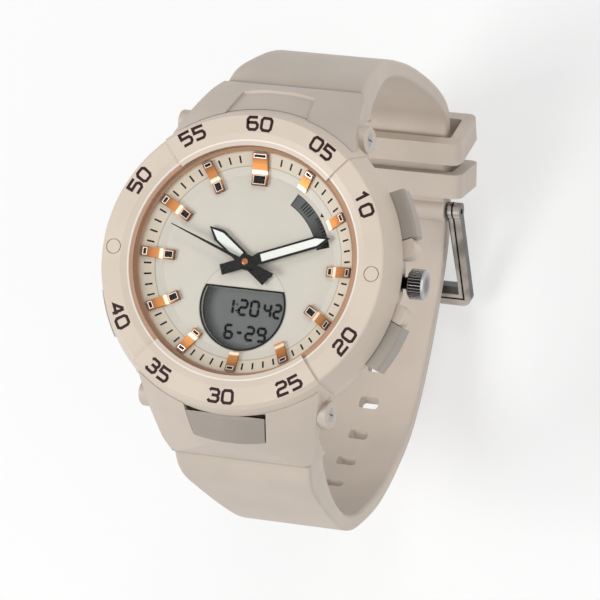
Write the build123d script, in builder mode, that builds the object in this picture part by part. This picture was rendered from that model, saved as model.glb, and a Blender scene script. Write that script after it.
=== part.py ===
from build123d import *

import os
from math import cos, radians, sin

# Ana digi sport watch with a resin strap, shown buckled, dial up.
# Origin: centre of the case back's outer face. +Z out of the dial, +Y to 12 o'clock,
# +X to 3 o'clock. All lengths are in millimetres.

os.makedirs("parts", exist_ok=True)

# Overruns and fits shared by several pieces
overrun = 2.0              # how far a cutting solid passes the face it cuts
running_gap = 0.05         # shaft in a hole
seat_gap = 0.1             # parts laid side by side in one body
slide_gap = 0.15           # button in its pocket

# Case body
case_r = 22.5              # outer radius
case_base_z = 0.6          # lower face of the outer skirt
case_bevel_w = 1.7
case_base_r = case_r - case_bevel_w
case_bevel_h = 2.0         # height of the lower bevel
shoulder_w = 3.7
shoulder_z = 5.9           # shoulder that carries the bezel
rim_r = case_r - shoulder_w            # rim that holds the crystal, outside
rim_wall = 1.5
rim_z = 10.05              # top of that rim
crystal_seat_z = 9.0       # ledge under the crystal seal
crystal_bore_r = rim_r - rim_wall      # bore round the crystal seal
crystal_ledge_w = 0.6
dial_seat_z = 6.5          # ledge under the dial
dial_bore_r = crystal_bore_r - crystal_ledge_w   # bore round dial and chapter ring
dial_ledge_w = 2.5
cavity_r = dial_bore_r - dial_ledge_w  # room for the movement

# Case back, its seal and screws
back_t = 1.2               # plate thickness
back_margin = 2.6          # skirt left round the plate
back_r = case_base_r - back_margin
back_ring_margin = 5.2     # to a shallow turned ring on the outside
back_ring_r = back_r - back_ring_margin
back_ring_w = 0.5
back_ring_depth = 0.15
seal_margin = 0.7          # from the cavity to the back seal
seal_w = 0.8
seal_inner_r = cavity_r + seal_margin
seal_outer_r = seal_inner_r + seal_w
seal_depth = 0.6
screw_count = 4
screw_start_angle = 45     # degrees from 3 o'clock
screw_margin = 1.3         # from the plate's edge to the screws' centres
screw_circle_r = back_r - screw_margin
screw_r = 0.5
screw_head_r = 0.9
screw_head_h = 0.55
screw_length = 3.2
screw_slot_w = 0.25

# Bezel
bezel_lip = 0.1            # bezel's inner edge outside the crystal's bore
bezel_slope_w = 1.2        # inner slope
bezel_flat_w = 2.4         # flat band
bezel_edge_w = 0.6         # outer rounding
bezel_flank_w = 1.4        # how far the side spreads on its way down
bezel_inner_r = crystal_bore_r + bezel_lip
bezel_flat_inner_r = bezel_inner_r + bezel_slope_w
bezel_flat_outer_r = bezel_flat_inner_r + bezel_flat_w
bezel_shoulder_r = bezel_flat_outer_r + bezel_edge_w
bezel_r = bezel_shoulder_r + bezel_flank_w     # widest radius, at its foot
bezel_top_z = 10.6
bezel_inner_z = 10.2       # height of the inner edge
bezel_edge_drop = 0.45     # height of the outer rounding
sector_half_angle = 41.0   # raised sectors at 12 and 6 o'clock
sector_rise = 0.35
sector_reach = 0.6         # inward of the bezel's inner edge
sector_inner_r = bezel_inner_r - sector_reach
sector_proud = 0.15
sector_floor_gap = 0.2     # sector clear of the crystal
dot_circle_r = (bezel_flat_inner_r + bezel_flat_outer_r) / 2
dot_r = 1.15
dot_groove_w = 0.15
dot_groove_depth = 0.25

# Crystal and its seal
crystal_t = 1.0
crystal_seal_t = 0.5       # wall of the seal
crystal_seal_lip = 0.5     # inward reach of its foot
crystal_seal_foot = 0.15
crystal_chamfer = 0.2

# Dial and chapter ring
dial_t = 0.5
dial_gap = 0.2
dial_r = dial_bore_r - dial_gap
ring_land_w = 0.35         # flat top of the chapter ring
ring_slope_w = 3.35
ring_top_r = dial_bore_r - ring_land_w
dial_flat_r = ring_top_r - ring_slope_w          # where the chapter ring begins
ring_top_z = 8.55
arc_margin = 0.6
arc_w = 2.0
arc_outer_r = dial_flat_r - arc_margin           # segment arc window
arc_inner_r = arc_outer_r - arc_w
arc_start = 16.5           # degrees from 3 o'clock, anticlockwise
arc_end = 61.0
lcd_r = 6.3                # round part of the display window
lcd_centre_y = -6.3
lcd_chord_y = -3.9         # straight top edge
lcd_frame_w = 0.28
lcd_frame_h = 0.12

# Applied hour markers
marker_t = 0.55
marker_lift = 0.04
marker_w = 1.45
marker_twelve_w = 2.3
marker_margin = 0.35       # outer ends clear of the ring's upper edge
marker_reach = 1.6         # inner ends in from the ring's foot
marker_three_reach = 0.9
marker_five_reach = 0.2
marker_seven_reach = 0.8
marker_short_gap = 0.1     # 1, 2 and 6, beside the displays, stay on the ring
marker_out_r = ring_top_r - marker_margin
marker_in_r = dial_flat_r - marker_reach
marker_three_in_r = dial_flat_r - marker_three_reach
marker_five_in_r = dial_flat_r - marker_five_reach
marker_seven_in_r = dial_flat_r - marker_seven_reach
marker_short_in_r = dial_flat_r + marker_short_gap

# Hands and their arbors
hand_t = 0.25
hand_gap = 0.2
hour_hand_z = 7.5
hour_hand_length = 8.05
hour_hand_w = 2.0
minute_hand_length = 13.0
minute_hand_w = 1.75
second_hand_length = 12.9
second_hand_w = 0.28
hand_tail = 4.0
tail_w = 1.6
second_tail = 4.6
second_tail_w = 0.75
hand_hub_r = 1.15
hand_root_w = 0.6
lume_inset = 0.33
lume_proud = 0.06
lume_start_share = 0.18    # where the inlay starts, as a share of the hand's length
cap_r = 0.5
cap_h = 0.35
seconds_arbor_r = 0.25
pipe_wall = 0.2
hour_hand_angle = 143.7    # degrees from 3 o'clock, anticlockwise
minute_hand_angle = 21.5
second_hand_angle = 159.8
wheel_t = 0.3
wheel_teeth = 20
wheel_tooth_h = 0.3
hour_wheel_r = 2.3
minute_wheel_r = 2.0
seconds_wheel_r = 1.7
wheel_gap = 0.12

# Movement
holder_r = 13.9
holder_base_z = 1.9
holder_top_z = 3.5
board_t = 0.4
board_r = 12.2
spacer_inner_r = 12.9
cell_r = 4.75
cell_h = 1.2
cell_x = -6.2
cell_y = 4.6
clamp_t = 0.2
clamp_w = 3.0
clamp_reach = 6.4
coil_length = 9.0
coil_r = 0.55
coil_flange_r = 0.8
coil_flange_t = 0.6
coil_x = 6.4
coil_y = 6.0
quartz_r = 0.6
quartz_length = 5.0
quartz_x = 7.2
quartz_y = -1.6
pocket_gap = 0.2
lcd_panel_w = 13.2
lcd_panel_t = 0.9
lcd_panel_top_y = -3.5
strip_w = 0.9
strip_top_y = -4.6
strip_bottom_y = -10.9
strip_length = 10.6
arc_panel_t = 0.35

# Side buttons
button_angles = {"start": 24.0, "reset": -24.0, "light": 156.0, "mode": 204.0}
button_z = 3.85
button_w = 7.2
button_h = 3.6
button_right_proud = 2.6   # START and RESET stand further out
button_left_proud = 0.9
button_depth = 1.1         # cap inside the case
button_travel = 1.0
button_edge = 0.35
button_inner_r = case_r - button_depth
pocket_floor_r = button_inner_r - button_travel - seat_gap
stem_r = 0.6
stem_z = 4.45
stem_reach = 1.0           # stem inside the cavity
stem_inner_r = cavity_r - stem_reach
clip_r = 0.9
clip_t = 0.35
clip_margin = 0.6
clip_place_r = cavity_r - clip_margin
button_seal_r = 1.1
button_seal_t = 0.9
guard_angle = 12.4
guard_r = 1.7
guard_proud = 0.5
guard_place_r = case_r + guard_proud
guard_h = 3.4

# Front button at 6 o'clock
front_w = 13.4             # across the bezel side
front_low_w = 11.2         # across its lower edge
front_depth = 0.2          # cap inside the case's radius
front_inner_y = front_depth - case_r
front_top_z = 8.1
front_bottom_z = 4.2
front_proud = 0.15
front_travel = 0.6
front_stem_z = 5.1
front_pocket_y = front_inner_y + front_travel + seat_gap
front_stem_margin = 0.7    # inside the cavity, clear of the display
front_stem_y = front_stem_margin - cavity_r
front_clip_margin = 0.3
front_clip_y = front_clip_margin - cavity_r

# Crown
crown_z = 3.3
crown_r = 2.25
crown_gap = 1.1
crown_inner_x = case_r + crown_gap
crown_length = 2.4
crown_flutes = 30
crown_flute_r = 0.2
crown_chamfer = 0.25
crown_neck_r = 0.9
crown_bore_r = 1.3
crown_bore_depth = 3.5
crown_neck_length = 3.8
crown_bore_x = case_r - crown_bore_depth
crown_neck_x = crown_inner_x - crown_neck_length
crown_stem_r = 0.5
crown_stem_x = cavity_r - seat_gap
crown_seal_t = 0.8
crown_seal_depth = 2.1
crown_seal_x = case_r - crown_seal_depth

# Strap roots and their pins
root_half_w = 13.9
root_wide_y = 17.7
root_mid_half_w = 12.9
root_mid_y = 22.0
root_ear_y = 22.1          # the ears end here
root_knee_half_w = 11.3
root_knee_z = 4.2          # from here down the sides draw in
root_top_z = 8.7
root_top_y = 22.3
root_crown_y = 26.2        # crowned outer face: a point at mid height, and its foot
root_crown_z = 4.0
root_foot_y = 29.9
root_case_gap = 0.1
root_back_y = 16.5
root_back_z = 0.5
root_crease_y = 28.0
root_crease_z = -1.9
root_under_y = 25.2
root_under_z = -8.3
root_belly_y = 20.6
root_belly_z = -3.4
root_bulge_y = 26.0
root_bulge_z = 4.2
crease_half_w = 10.7
crease_step = 0.7
crease_groove_w = 0.35
crease_groove_depth = 0.5
pad_depth = 0.45
pin_y = 20.2
pin_z = 3.0
pin_r = 0.8
pin_head_r = 1.1
pin_head_t = 0.5
boss_r = 1.9
boss_long = 3.0
boss_proud = 0.5

# Strap loop: half height from 12 to 6 o'clock and depth below the case back
loop_half_h = 37.5
loop_depth = 65.5
strap_root_t = 6.9
strap_t = 2.4
strap_corner = 0.55
strap_end_w = 15.6
buckle_end_w = 16.8
slot_pitch = 6.7
slot_w = 3.2
slot_length = 2.1
slots_before = 2           # towards the tail from the one in use
slots_after = 7            # towards the case
layer_gap = 0.3
upper_stations = 12        # sections along each strap
lower_stations = 20

# Keepers
keeper_w = 3.9             # along the strap
keeper_wall = 2.0
keeper_gap = 0.3           # round the two straps
keeper_side_gap = 1.2      # beside them
keeper_corner = 1.5
keeper_one_place = 1.1     # centres, from the start of the straight stretch
keeper_two_place = 7.9
keeper_one_tilt = 15.0     # degrees, the first one leans on the bend of the strap
keeper_one_lift = 1.0      # its centre, outward of the upper strap's middle
tail_end = 3.6             # the tail ends between the keepers

# Buckle
bar_shares = (0.5147, 0.9374)       # of the loop's half height and depth
bar_y = bar_shares[0] * loop_half_h
bar_z = -bar_shares[1] * loop_depth
bar_r = 0.7
bar_tip_r = 0.45
bar_tip_length = 1.2
wrap_r = 1.95
straight_shares = (0.8267, 0.8611)
straight_start_y = straight_shares[0] * loop_half_h
straight_start_z = -straight_shares[1] * loop_depth
tongue_notch_w = 3.2
frame_arm_t = 2.2          # across the strap
frame_arm_gap = 0.3        # arm to strap edge
frame_flare = 1.4          # wider at the end bar
frame_eye_r = 1.4
frame_end_back = 12.45     # end bar, along Y from the spring bar
frame_end_drop = 8.5
frame_bar_w = 3.4          # end bar, along the strap
frame_bar_t = 1.7
frame_corner = 1.4
tongue_w = 1.7
tongue_t = 1.0
tongue_eye_r = 1.35
tongue_slot_back = 6.7     # from the spring bar to where the tongue passes the strap
tongue_length = 14.9
tongue_bend_drop = 1.5
tongue_slot_y = bar_y - tongue_slot_back
tongue_tip_y = bar_y - tongue_length
tongue_bend_z = bar_z - tongue_bend_drop


def at_angle(radius, angle):
    """Point in the dial plane, angle in degrees from 3 o'clock."""
    return (radius * cos(radians(angle)), radius * sin(radians(angle)))


def radial_plane(angle, height, radius):
    """Plane that looks outward along a radius: its x is tangential, its y is up."""
    x, y = at_angle(radius, angle)
    outward = at_angle(1, angle)
    return Plane(origin=(x, y, height), x_dir=(-outward[1], outward[0], 0), z_dir=(*outward, 0))


def finish(builder, name):
    """Label a finished piece and write its file."""
    builder.part.label = name
    export_step(builder.part, f"parts/{name}.step")


def front_pocket():
    """Room behind the front button, cut into the case and the bezel."""
    width = front_w + 2 * slide_gap
    height = front_top_z - front_bottom_z + 2 * slide_gap
    with BuildPart() as pocket:
        with BuildSketch(Plane.XZ.offset(-front_pocket_y)):
            with Locations((0, (front_top_z + front_bottom_z) / 2)):
                Rectangle(width, height)
        extrude(amount=overrun)
    return pocket.part


# Case body: a turned shell, bored for dial, crystal, back, pins, crown and buttons
case_bevel_z = case_base_z + case_bevel_h
stem_bore_r = stem_r + running_gap
case_profile = (
    (cavity_r, back_t), (back_r + seat_gap, back_t), (back_r + seat_gap, case_base_z),
    (case_base_r, case_base_z), (case_r, case_bevel_z), (case_r, shoulder_z),
    (rim_r, shoulder_z), (rim_r, rim_z), (crystal_bore_r, rim_z),
    (crystal_bore_r, crystal_seat_z), (dial_bore_r, crystal_seat_z),
    (dial_bore_r, dial_seat_z), (cavity_r, dial_seat_z),
)
with BuildPart() as case_body:
    with BuildSketch(Plane.XZ):
        with BuildLine():
            Polyline(*case_profile, close=True)
        make_face()
    revolve(axis=Axis.Z)
    # crown guards, one beside each right hand button
    for side in (1, -1):
        with BuildSketch(Plane.XY.offset(button_z - guard_h / 2)):
            with Locations(at_angle(guard_place_r, side * guard_angle)):
                Circle(guard_r)
        extrude(amount=guard_h)
    # groove for the back seal
    with BuildSketch(Plane.XY.offset(back_t)):
        Circle(seal_outer_r)
        Circle(seal_inner_r, mode=Mode.SUBTRACT)
    extrude(amount=seal_depth, mode=Mode.SUBTRACT)
    # screw holes
    with BuildSketch(Plane.XY.offset(back_t)):
        with PolarLocations(screw_circle_r, screw_count, start_angle=screw_start_angle):
            Circle(screw_r)
    extrude(amount=screw_length, mode=Mode.SUBTRACT)
    # strap pin bores
    for side in (1, -1):
        with BuildSketch(Plane.YZ):
            with Locations((side * pin_y, pin_z)):
                Circle(pin_r + running_gap)
        extrude(amount=case_r, both=True, mode=Mode.SUBTRACT)
    # button pockets and stem bores
    for angle in button_angles.values():
        with BuildSketch(radial_plane(angle, button_z, pocket_floor_r)):
            Rectangle(button_w + 2 * slide_gap, button_h + 2 * slide_gap)
        extrude(amount=case_r, mode=Mode.SUBTRACT)
        with BuildSketch(radial_plane(angle, stem_z, pocket_floor_r - button_seal_t)):
            Circle(button_seal_r)
        extrude(amount=button_seal_t, mode=Mode.SUBTRACT)
    for angle in (*button_angles.values(), -90):
        height = front_stem_z if angle == -90 else stem_z
        with BuildSketch(radial_plane(angle, height, cavity_r - overrun)):
            Circle(stem_bore_r)
        extrude(amount=case_r, mode=Mode.SUBTRACT)
    add(front_pocket(), mode=Mode.SUBTRACT)
    # crown bore, wide for the neck and its seal, narrow for the stem
    with BuildSketch(Plane.YZ.offset(cavity_r - overrun)):
        with Locations((0, crown_z)):
            Circle(crown_stem_r + running_gap)
    extrude(amount=case_r, mode=Mode.SUBTRACT)
    with BuildSketch(Plane.YZ.offset(crown_bore_x)):
        with Locations((0, crown_z)):
            Circle(crown_bore_r)
    extrude(amount=case_r, mode=Mode.SUBTRACT)
finish(case_body, "case_body")

# Case back with a turned ring and countersunk screw seats
with BuildPart() as case_back:
    with BuildSketch(Plane.XY):
        Circle(back_r)
    extrude(amount=back_t)
    with BuildSketch(Plane.XY):
        Circle(back_ring_r)
        Circle(back_ring_r - back_ring_w, mode=Mode.SUBTRACT)
    extrude(amount=back_ring_depth, mode=Mode.SUBTRACT)
    with BuildSketch(Plane.XY):
        with PolarLocations(screw_circle_r, screw_count, start_angle=screw_start_angle):
            Circle(screw_head_r + seat_gap)
    extrude(amount=screw_head_h, mode=Mode.SUBTRACT)
    with BuildSketch(Plane.XY):
        with PolarLocations(screw_circle_r, screw_count, start_angle=screw_start_angle):
            Circle(screw_r + seat_gap)
    extrude(amount=back_t, mode=Mode.SUBTRACT)
finish(case_back, "case_back")

with BuildPart() as case_back_gasket:
    with BuildSketch(Plane.XY.offset(back_t)):
        Circle(seal_outer_r)
        Circle(seal_inner_r, mode=Mode.SUBTRACT)
    extrude(amount=seal_depth)
finish(case_back_gasket, "case_back_gasket")

with BuildPart() as case_back_screws:
    with BuildSketch(Plane.XY):
        with PolarLocations(screw_circle_r, screw_count, start_angle=screw_start_angle):
            Circle(screw_head_r)
    extrude(amount=screw_head_h)
    with BuildSketch(Plane.XY.offset(screw_head_h)):
        with PolarLocations(screw_circle_r, screw_count, start_angle=screw_start_angle):
            Circle(screw_r)
    extrude(amount=back_t + screw_length - screw_head_h)
    with BuildSketch(Plane.XY):
        with PolarLocations(screw_circle_r, screw_count, start_angle=screw_start_angle):
            Rectangle(screw_slot_w, 2 * screw_head_r)
    extrude(amount=screw_slot_w, mode=Mode.SUBTRACT)
finish(case_back_screws, "case_back_screws")

# Bezel: a turned ring with raised sectors at 12 and 6 and a moulded dot at 3 and 9
bezel_edge_z = bezel_top_z - bezel_edge_drop
bezel_profile = (
    (bezel_inner_r, rim_z), (rim_r, rim_z), (rim_r, shoulder_z), (bezel_r, shoulder_z),
)
sector_base_z = crystal_seat_z + crystal_seal_foot + crystal_t + sector_floor_gap
with BuildPart() as bezel:
    with BuildSketch(Plane.XZ):
        with BuildLine():
            Polyline(*bezel_profile)
            Line((bezel_r, shoulder_z), (bezel_shoulder_r, bezel_edge_z))
            ThreePointArc(
                (bezel_shoulder_r, bezel_edge_z),
                (bezel_shoulder_r - bezel_edge_w / 4, bezel_top_z - bezel_edge_drop / 3),
                (bezel_flat_outer_r, bezel_top_z),
            )
            Polyline(
                (bezel_flat_outer_r, bezel_top_z), (bezel_flat_inner_r, bezel_top_z),
                (bezel_inner_r, bezel_inner_z), (bezel_inner_r, rim_z),
            )
        make_face()
    revolve(axis=Axis.Z)
    for middle in (90, 270):
        side_plane = Plane.XZ.rotated((0, 0, middle - sector_half_angle))
        with BuildSketch(side_plane):
            with BuildLine():
                Polyline(
                    (sector_inner_r, sector_base_z), (sector_inner_r, bezel_inner_z + sector_rise),
                    (bezel_flat_inner_r, bezel_top_z + sector_rise),
                    (bezel_flat_outer_r + sector_proud, bezel_top_z + sector_rise),
                    (bezel_shoulder_r + sector_proud, bezel_edge_z + sector_rise / 2),
                    (bezel_r + sector_proud, shoulder_z),
                    (rim_r + overrun, shoulder_z), (rim_r + overrun, sector_base_z),
                    close=True,
                )
            make_face()
        revolve(axis=Axis.Z, revolution_arc=2 * sector_half_angle)
    with BuildSketch(Plane.XY.offset(bezel_top_z - dot_groove_depth)):
        with PolarLocations(dot_circle_r, 2):
            Circle(dot_r)
            Circle(dot_r - dot_groove_w, mode=Mode.SUBTRACT)
    extrude(amount=dot_groove_depth, mode=Mode.SUBTRACT)
    add(front_pocket(), mode=Mode.SUBTRACT)
finish(bezel, "bezel")

# Crystal in an L shaped seal
crystal_base_z = crystal_seat_z + crystal_seal_foot
crystal_r = crystal_bore_r - crystal_seal_t
with BuildPart() as crystal:
    with BuildSketch(Plane.XY.offset(crystal_base_z)):
        Circle(crystal_r)
    extrude(amount=crystal_t)
    chamfer(crystal.edges().sort_by(Axis.Z)[-1], length=crystal_chamfer)
finish(crystal, "crystal")

with BuildPart() as crystal_gasket:
    with BuildSketch(Plane.XZ):
        with BuildLine():
            Polyline(
                (crystal_r - crystal_seal_lip, crystal_seat_z), (crystal_bore_r, crystal_seat_z),
                (crystal_bore_r, rim_z), (crystal_r, rim_z), (crystal_r, crystal_base_z),
                (crystal_r - crystal_seal_lip, crystal_base_z),
                close=True,
            )
        make_face()
    revolve(axis=Axis.Z)
finish(crystal_gasket, "crystal_gasket")

# Dial with a segment arc window and a D shaped display window
dial_top_z = dial_seat_z + dial_t


def lcd_window(growth):
    """Outline of the display window, with its edge moved outward by growth."""
    with BuildSketch() as window:
        with Locations((0, lcd_centre_y)):
            Circle(lcd_r + growth)
        with Locations((0, lcd_chord_y + growth + lcd_r)):
            Rectangle(3 * lcd_r, 2 * lcd_r, mode=Mode.SUBTRACT)
    return window.sketch


def arc_window(inner, outer):
    """Ring sector of the segment display."""
    points = [at_angle(inner, arc_start), at_angle(inner, arc_end)]
    outer_points = [at_angle(outer, arc_end), at_angle(outer, arc_start)]
    middle = (arc_start + arc_end) / 2
    with BuildSketch() as window:
        with BuildLine():
            ThreePointArc(points[0], at_angle(inner, middle), points[1])
            Line(points[1], outer_points[0])
            ThreePointArc(outer_points[0], at_angle(outer, middle), outer_points[1])
            Line(outer_points[1], points[0])
        make_face()
    return window.sketch


with BuildPart() as dial:
    with BuildSketch(Plane.XY.offset(dial_seat_z)):
        Circle(dial_r)
    extrude(amount=dial_t)
    with BuildSketch(Plane.XY.offset(dial_seat_z)):
        add(lcd_window(0))
    extrude(amount=dial_t, mode=Mode.SUBTRACT)
    with BuildSketch(Plane.XY.offset(dial_seat_z)):
        add(arc_window(arc_inner_r, arc_outer_r))
    extrude(amount=dial_t, mode=Mode.SUBTRACT)
    with BuildSketch(Plane.XY.offset(dial_seat_z)):
        Circle(seconds_arbor_r + 2 * (pipe_wall + running_gap) + 2 * running_gap)
    extrude(amount=dial_t, mode=Mode.SUBTRACT)
finish(dial, "dial")

with BuildPart() as display_frame:
    with BuildSketch(Plane.XY.offset(dial_top_z)):
        add(lcd_window(lcd_frame_w))
        add(lcd_window(0), mode=Mode.SUBTRACT)
    extrude(amount=lcd_frame_h)
finish(display_frame, "display_frame")

# Chapter ring, a cone that rises to the crystal
with BuildPart() as chapter_ring:
    with BuildSketch(Plane.XZ):
        with BuildLine():
            Polyline(
                (dial_flat_r, dial_top_z), (dial_bore_r - seat_gap, dial_top_z),
                (dial_bore_r - seat_gap, crystal_seat_z), (ring_top_r, crystal_seat_z),
                (ring_top_r, ring_top_z),
                close=True,
            )
        make_face()
    revolve(axis=Axis.Z)
finish(chapter_ring, "chapter_ring")

# Applied markers, bent where the flat dial meets the ring
ring_slope = (ring_top_z - dial_top_z) / (ring_top_r - dial_flat_r)


def ring_z(radius):
    """Height of the dial face at a radius, lifted clear of it."""
    return dial_top_z + marker_lift + max(0, radius - dial_flat_r) * ring_slope


marker_inner_radii = {
    1: marker_short_in_r, 2: marker_short_in_r, 3: marker_three_in_r, 4: marker_in_r,
    5: marker_five_in_r, 6: marker_short_in_r, 7: marker_seven_in_r,
}
with BuildPart() as hour_markers:
    for hour in range(1, 13):
        inner = marker_inner_radii.get(hour, marker_in_r)
        width = marker_twelve_w if hour == 12 else marker_w
        foot = [(inner, ring_z(inner))]
        if inner < dial_flat_r:
            foot.append((dial_flat_r, ring_z(dial_flat_r)))
        foot.append((marker_out_r, ring_z(marker_out_r)))
        top = [(radius, height + marker_t) for radius, height in reversed(foot)]
        outward = (*at_angle(1, 90 - 30 * hour), 0)
        across = (outward[1], -outward[0], 0)
        with BuildSketch(Plane(origin=(0, 0, 0), x_dir=outward, z_dir=across)):
            with BuildLine():
                Polyline(*foot, *top, close=True)
            make_face()
        extrude(amount=width / 2, both=True)
finish(hour_markers, "hour_markers")

# Hands: pierced frames with a tail, pressed on their pipes
minute_hand_z = hour_hand_z + hand_t + hand_gap
second_hand_z = minute_hand_z + hand_t + hand_gap
minute_bore_r = seconds_arbor_r + running_gap
minute_pipe_r = minute_bore_r + pipe_wall
hour_bore_r = minute_pipe_r + running_gap
hour_pipe_r = hour_bore_r + pipe_wall


def hand_outline(length, width):
    """Blade that widens to its shoulder and ends in a point, along +X."""
    shoulder = length - width
    waist = length * lume_start_share - lume_inset
    with BuildSketch() as blade:
        with BuildLine():
            Polyline(
                (0, -hand_root_w / 2), (waist, -width / 2), (shoulder, -width / 2), (length, 0),
                (shoulder, width / 2), (waist, width / 2), (0, hand_root_w / 2),
                close=True,
            )
        make_face()
    return blade.sketch


def lume_outline(length, width):
    """Inlay inside a blade."""
    half = width / 2 - lume_inset
    start = length * lume_start_share
    shoulder = length - width - lume_inset
    with BuildSketch() as inlay:
        with BuildLine():
            Polyline(
                (start, -half), (shoulder, -half), (length - 2 * lume_inset, 0),
                (shoulder, half), (start, half),
                close=True,
            )
        make_face()
    return inlay.sketch


def broad_hand(height, length, width, angle, bore):
    """Hour or minute hand, pierced for its inlay and bored for its pipe."""
    plane = Plane.XY.offset(height).rotated((0, 0, angle))
    with BuildPart() as hand:
        with BuildSketch(plane):
            add(hand_outline(length, width))
            Circle(hand_hub_r)
            with Locations((-hand_tail / 2, 0)):
                Rectangle(hand_tail, tail_w)
            Circle(bore, mode=Mode.SUBTRACT)
        extrude(amount=hand_t)
        with BuildSketch(plane):
            add(lume_outline(length, width))
        extrude(amount=hand_t, mode=Mode.SUBTRACT)
    return hand


def lume_inlay(height, length, width, angle):
    """White inlay that fills the opening of a hand."""
    with BuildPart() as inlay:
        with BuildSketch(Plane.XY.offset(height).rotated((0, 0, angle))):
            add(lume_outline(length, width))
        extrude(amount=hand_t + lume_proud)
    return inlay


hour_hand = broad_hand(hour_hand_z, hour_hand_length, hour_hand_w, hour_hand_angle, hour_pipe_r)
finish(hour_hand, "hour_hand")
hour_lume = lume_inlay(hour_hand_z, hour_hand_length, hour_hand_w, hour_hand_angle)
finish(hour_lume, "hour_lume")
minute_hand = broad_hand(
    minute_hand_z, minute_hand_length, minute_hand_w, minute_hand_angle, minute_pipe_r
)
finish(minute_hand, "minute_hand")
minute_lume = lume_inlay(minute_hand_z, minute_hand_length, minute_hand_w, minute_hand_angle)
finish(minute_lume, "minute_lume")

with BuildPart() as second_hand:
    with BuildSketch(Plane.XY.offset(second_hand_z).rotated((0, 0, second_hand_angle))):
        Circle(hand_hub_r - lume_inset)
        with BuildLine():
            Polyline(
                (0, -second_hand_w), (second_hand_length, -second_hand_w / 4),
                (second_hand_length, second_hand_w / 4), (0, second_hand_w),
                close=True,
            )
        make_face()
        with Locations((-second_tail / 2, 0)):
            Rectangle(second_tail, second_tail_w)
        Circle(seconds_arbor_r, mode=Mode.SUBTRACT)
    extrude(amount=hand_t)
finish(second_hand, "second_hand")

# Arbors: one inside the other, each with a toothed wheel under the dial
spacer_z = holder_top_z
board_z = holder_top_z
wheels_z = board_z + board_t + wheel_gap
seconds_wheel_z = wheels_z
minute_wheel_z = seconds_wheel_z + wheel_t + wheel_gap
hour_wheel_z = minute_wheel_z + wheel_t + wheel_gap


def toothed_disc(radius):
    """Wheel outline with straight sided teeth."""
    step = 360 / wheel_teeth
    points = []
    for tooth in range(wheel_teeth):
        start = tooth * step
        points.append(at_angle(radius - wheel_tooth_h, start))
        points.append(at_angle(radius, start + step / 4))
        points.append(at_angle(radius, start + step / 2))
        points.append(at_angle(radius - wheel_tooth_h, start + 3 * step / 4))
    with BuildSketch() as disc:
        with BuildLine():
            Polyline(*points, close=True)
        make_face()
    return disc.sketch


with BuildPart() as hour_wheel:
    with BuildSketch(Plane.XY.offset(hour_wheel_z)):
        add(toothed_disc(hour_wheel_r))
    extrude(amount=wheel_t)
    with BuildSketch(Plane.XY.offset(hour_wheel_z)):
        Circle(hour_pipe_r)
    extrude(amount=hour_hand_z + hand_t - hour_wheel_z)
    with BuildSketch(Plane.XY.offset(hour_wheel_z)):
        Circle(hour_bore_r)
    extrude(amount=case_r, mode=Mode.SUBTRACT)
finish(hour_wheel, "hour_wheel")

with BuildPart() as minute_wheel:
    with BuildSketch(Plane.XY.offset(minute_wheel_z)):
        add(toothed_disc(minute_wheel_r))
    extrude(amount=wheel_t)
    with BuildSketch(Plane.XY.offset(minute_wheel_z)):
        Circle(minute_pipe_r)
    extrude(amount=minute_hand_z + hand_t - minute_wheel_z)
    with BuildSketch(Plane.XY.offset(minute_wheel_z)):
        Circle(minute_bore_r)
    extrude(amount=case_r, mode=Mode.SUBTRACT)
finish(minute_wheel, "minute_wheel")

arbor_foot_z = holder_top_z - cell_h / 2
with BuildPart() as seconds_arbor:
    with BuildSketch(Plane.XY.offset(seconds_wheel_z)):
        add(toothed_disc(seconds_wheel_r))
    extrude(amount=wheel_t)
    with BuildSketch(Plane.XY.offset(arbor_foot_z)):
        Circle(seconds_arbor_r)
    extrude(amount=second_hand_z + hand_t - arbor_foot_z)
    with BuildSketch(Plane.XY.offset(second_hand_z + hand_t)):
        Circle(cap_r)
    extrude(amount=cap_h)
    fillet(seconds_arbor.edges().sort_by(Axis.Z)[-1], radius=cap_h / 2)
finish(seconds_arbor, "seconds_arbor")

# Movement holder with pockets for the cell, the coil, the quartz can and the arbor
holder_h = holder_top_z - holder_base_z
with BuildPart() as movement_holder:
    with BuildSketch(Plane.XY.offset(holder_base_z)):
        Circle(holder_r)
    extrude(amount=holder_h)
    with BuildSketch(Plane.XY.offset(holder_base_z)):
        with Locations((cell_x, cell_y)):
            Circle(cell_r + pocket_gap)
    extrude(amount=cell_h, mode=Mode.SUBTRACT)
    with BuildSketch(Plane.XY.offset(holder_base_z)):
        with Locations((coil_x, coil_y)):
            Rectangle(coil_length + 2 * pocket_gap, 2 * (coil_flange_r + pocket_gap))
        with Locations((quartz_x, quartz_y)):
            Rectangle(2 * (quartz_r + pocket_gap), quartz_length + 2 * pocket_gap)
    extrude(amount=2 * coil_flange_r - pocket_gap, mode=Mode.SUBTRACT)
    with BuildSketch(Plane.XY.offset(arbor_foot_z)):
        Circle(seconds_arbor_r + running_gap)
    extrude(amount=holder_h, mode=Mode.SUBTRACT)
finish(movement_holder, "movement_holder")

with BuildPart() as cell:
    with BuildSketch(Plane.XY.offset(holder_base_z)):
        with Locations((cell_x, cell_y)):
            Circle(cell_r)
    extrude(amount=cell_h)
    chamfer(cell.edges().sort_by(Axis.Z)[0], length=cell_h / 6)
finish(cell, "cell")

# The clamp crosses under the cell and rests on the holder at both ends
with BuildPart() as cell_clamp:
    with BuildSketch(Plane.XY.offset(holder_base_z - clamp_t)):
        with Locations((cell_x, cell_y)):
            Rectangle(clamp_w, 2 * clamp_reach)
            with GridLocations(0, 2 * clamp_reach, 1, 2):
                Circle(clamp_w / 2)
    extrude(amount=clamp_t)
finish(cell_clamp, "cell_clamp")

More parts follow.
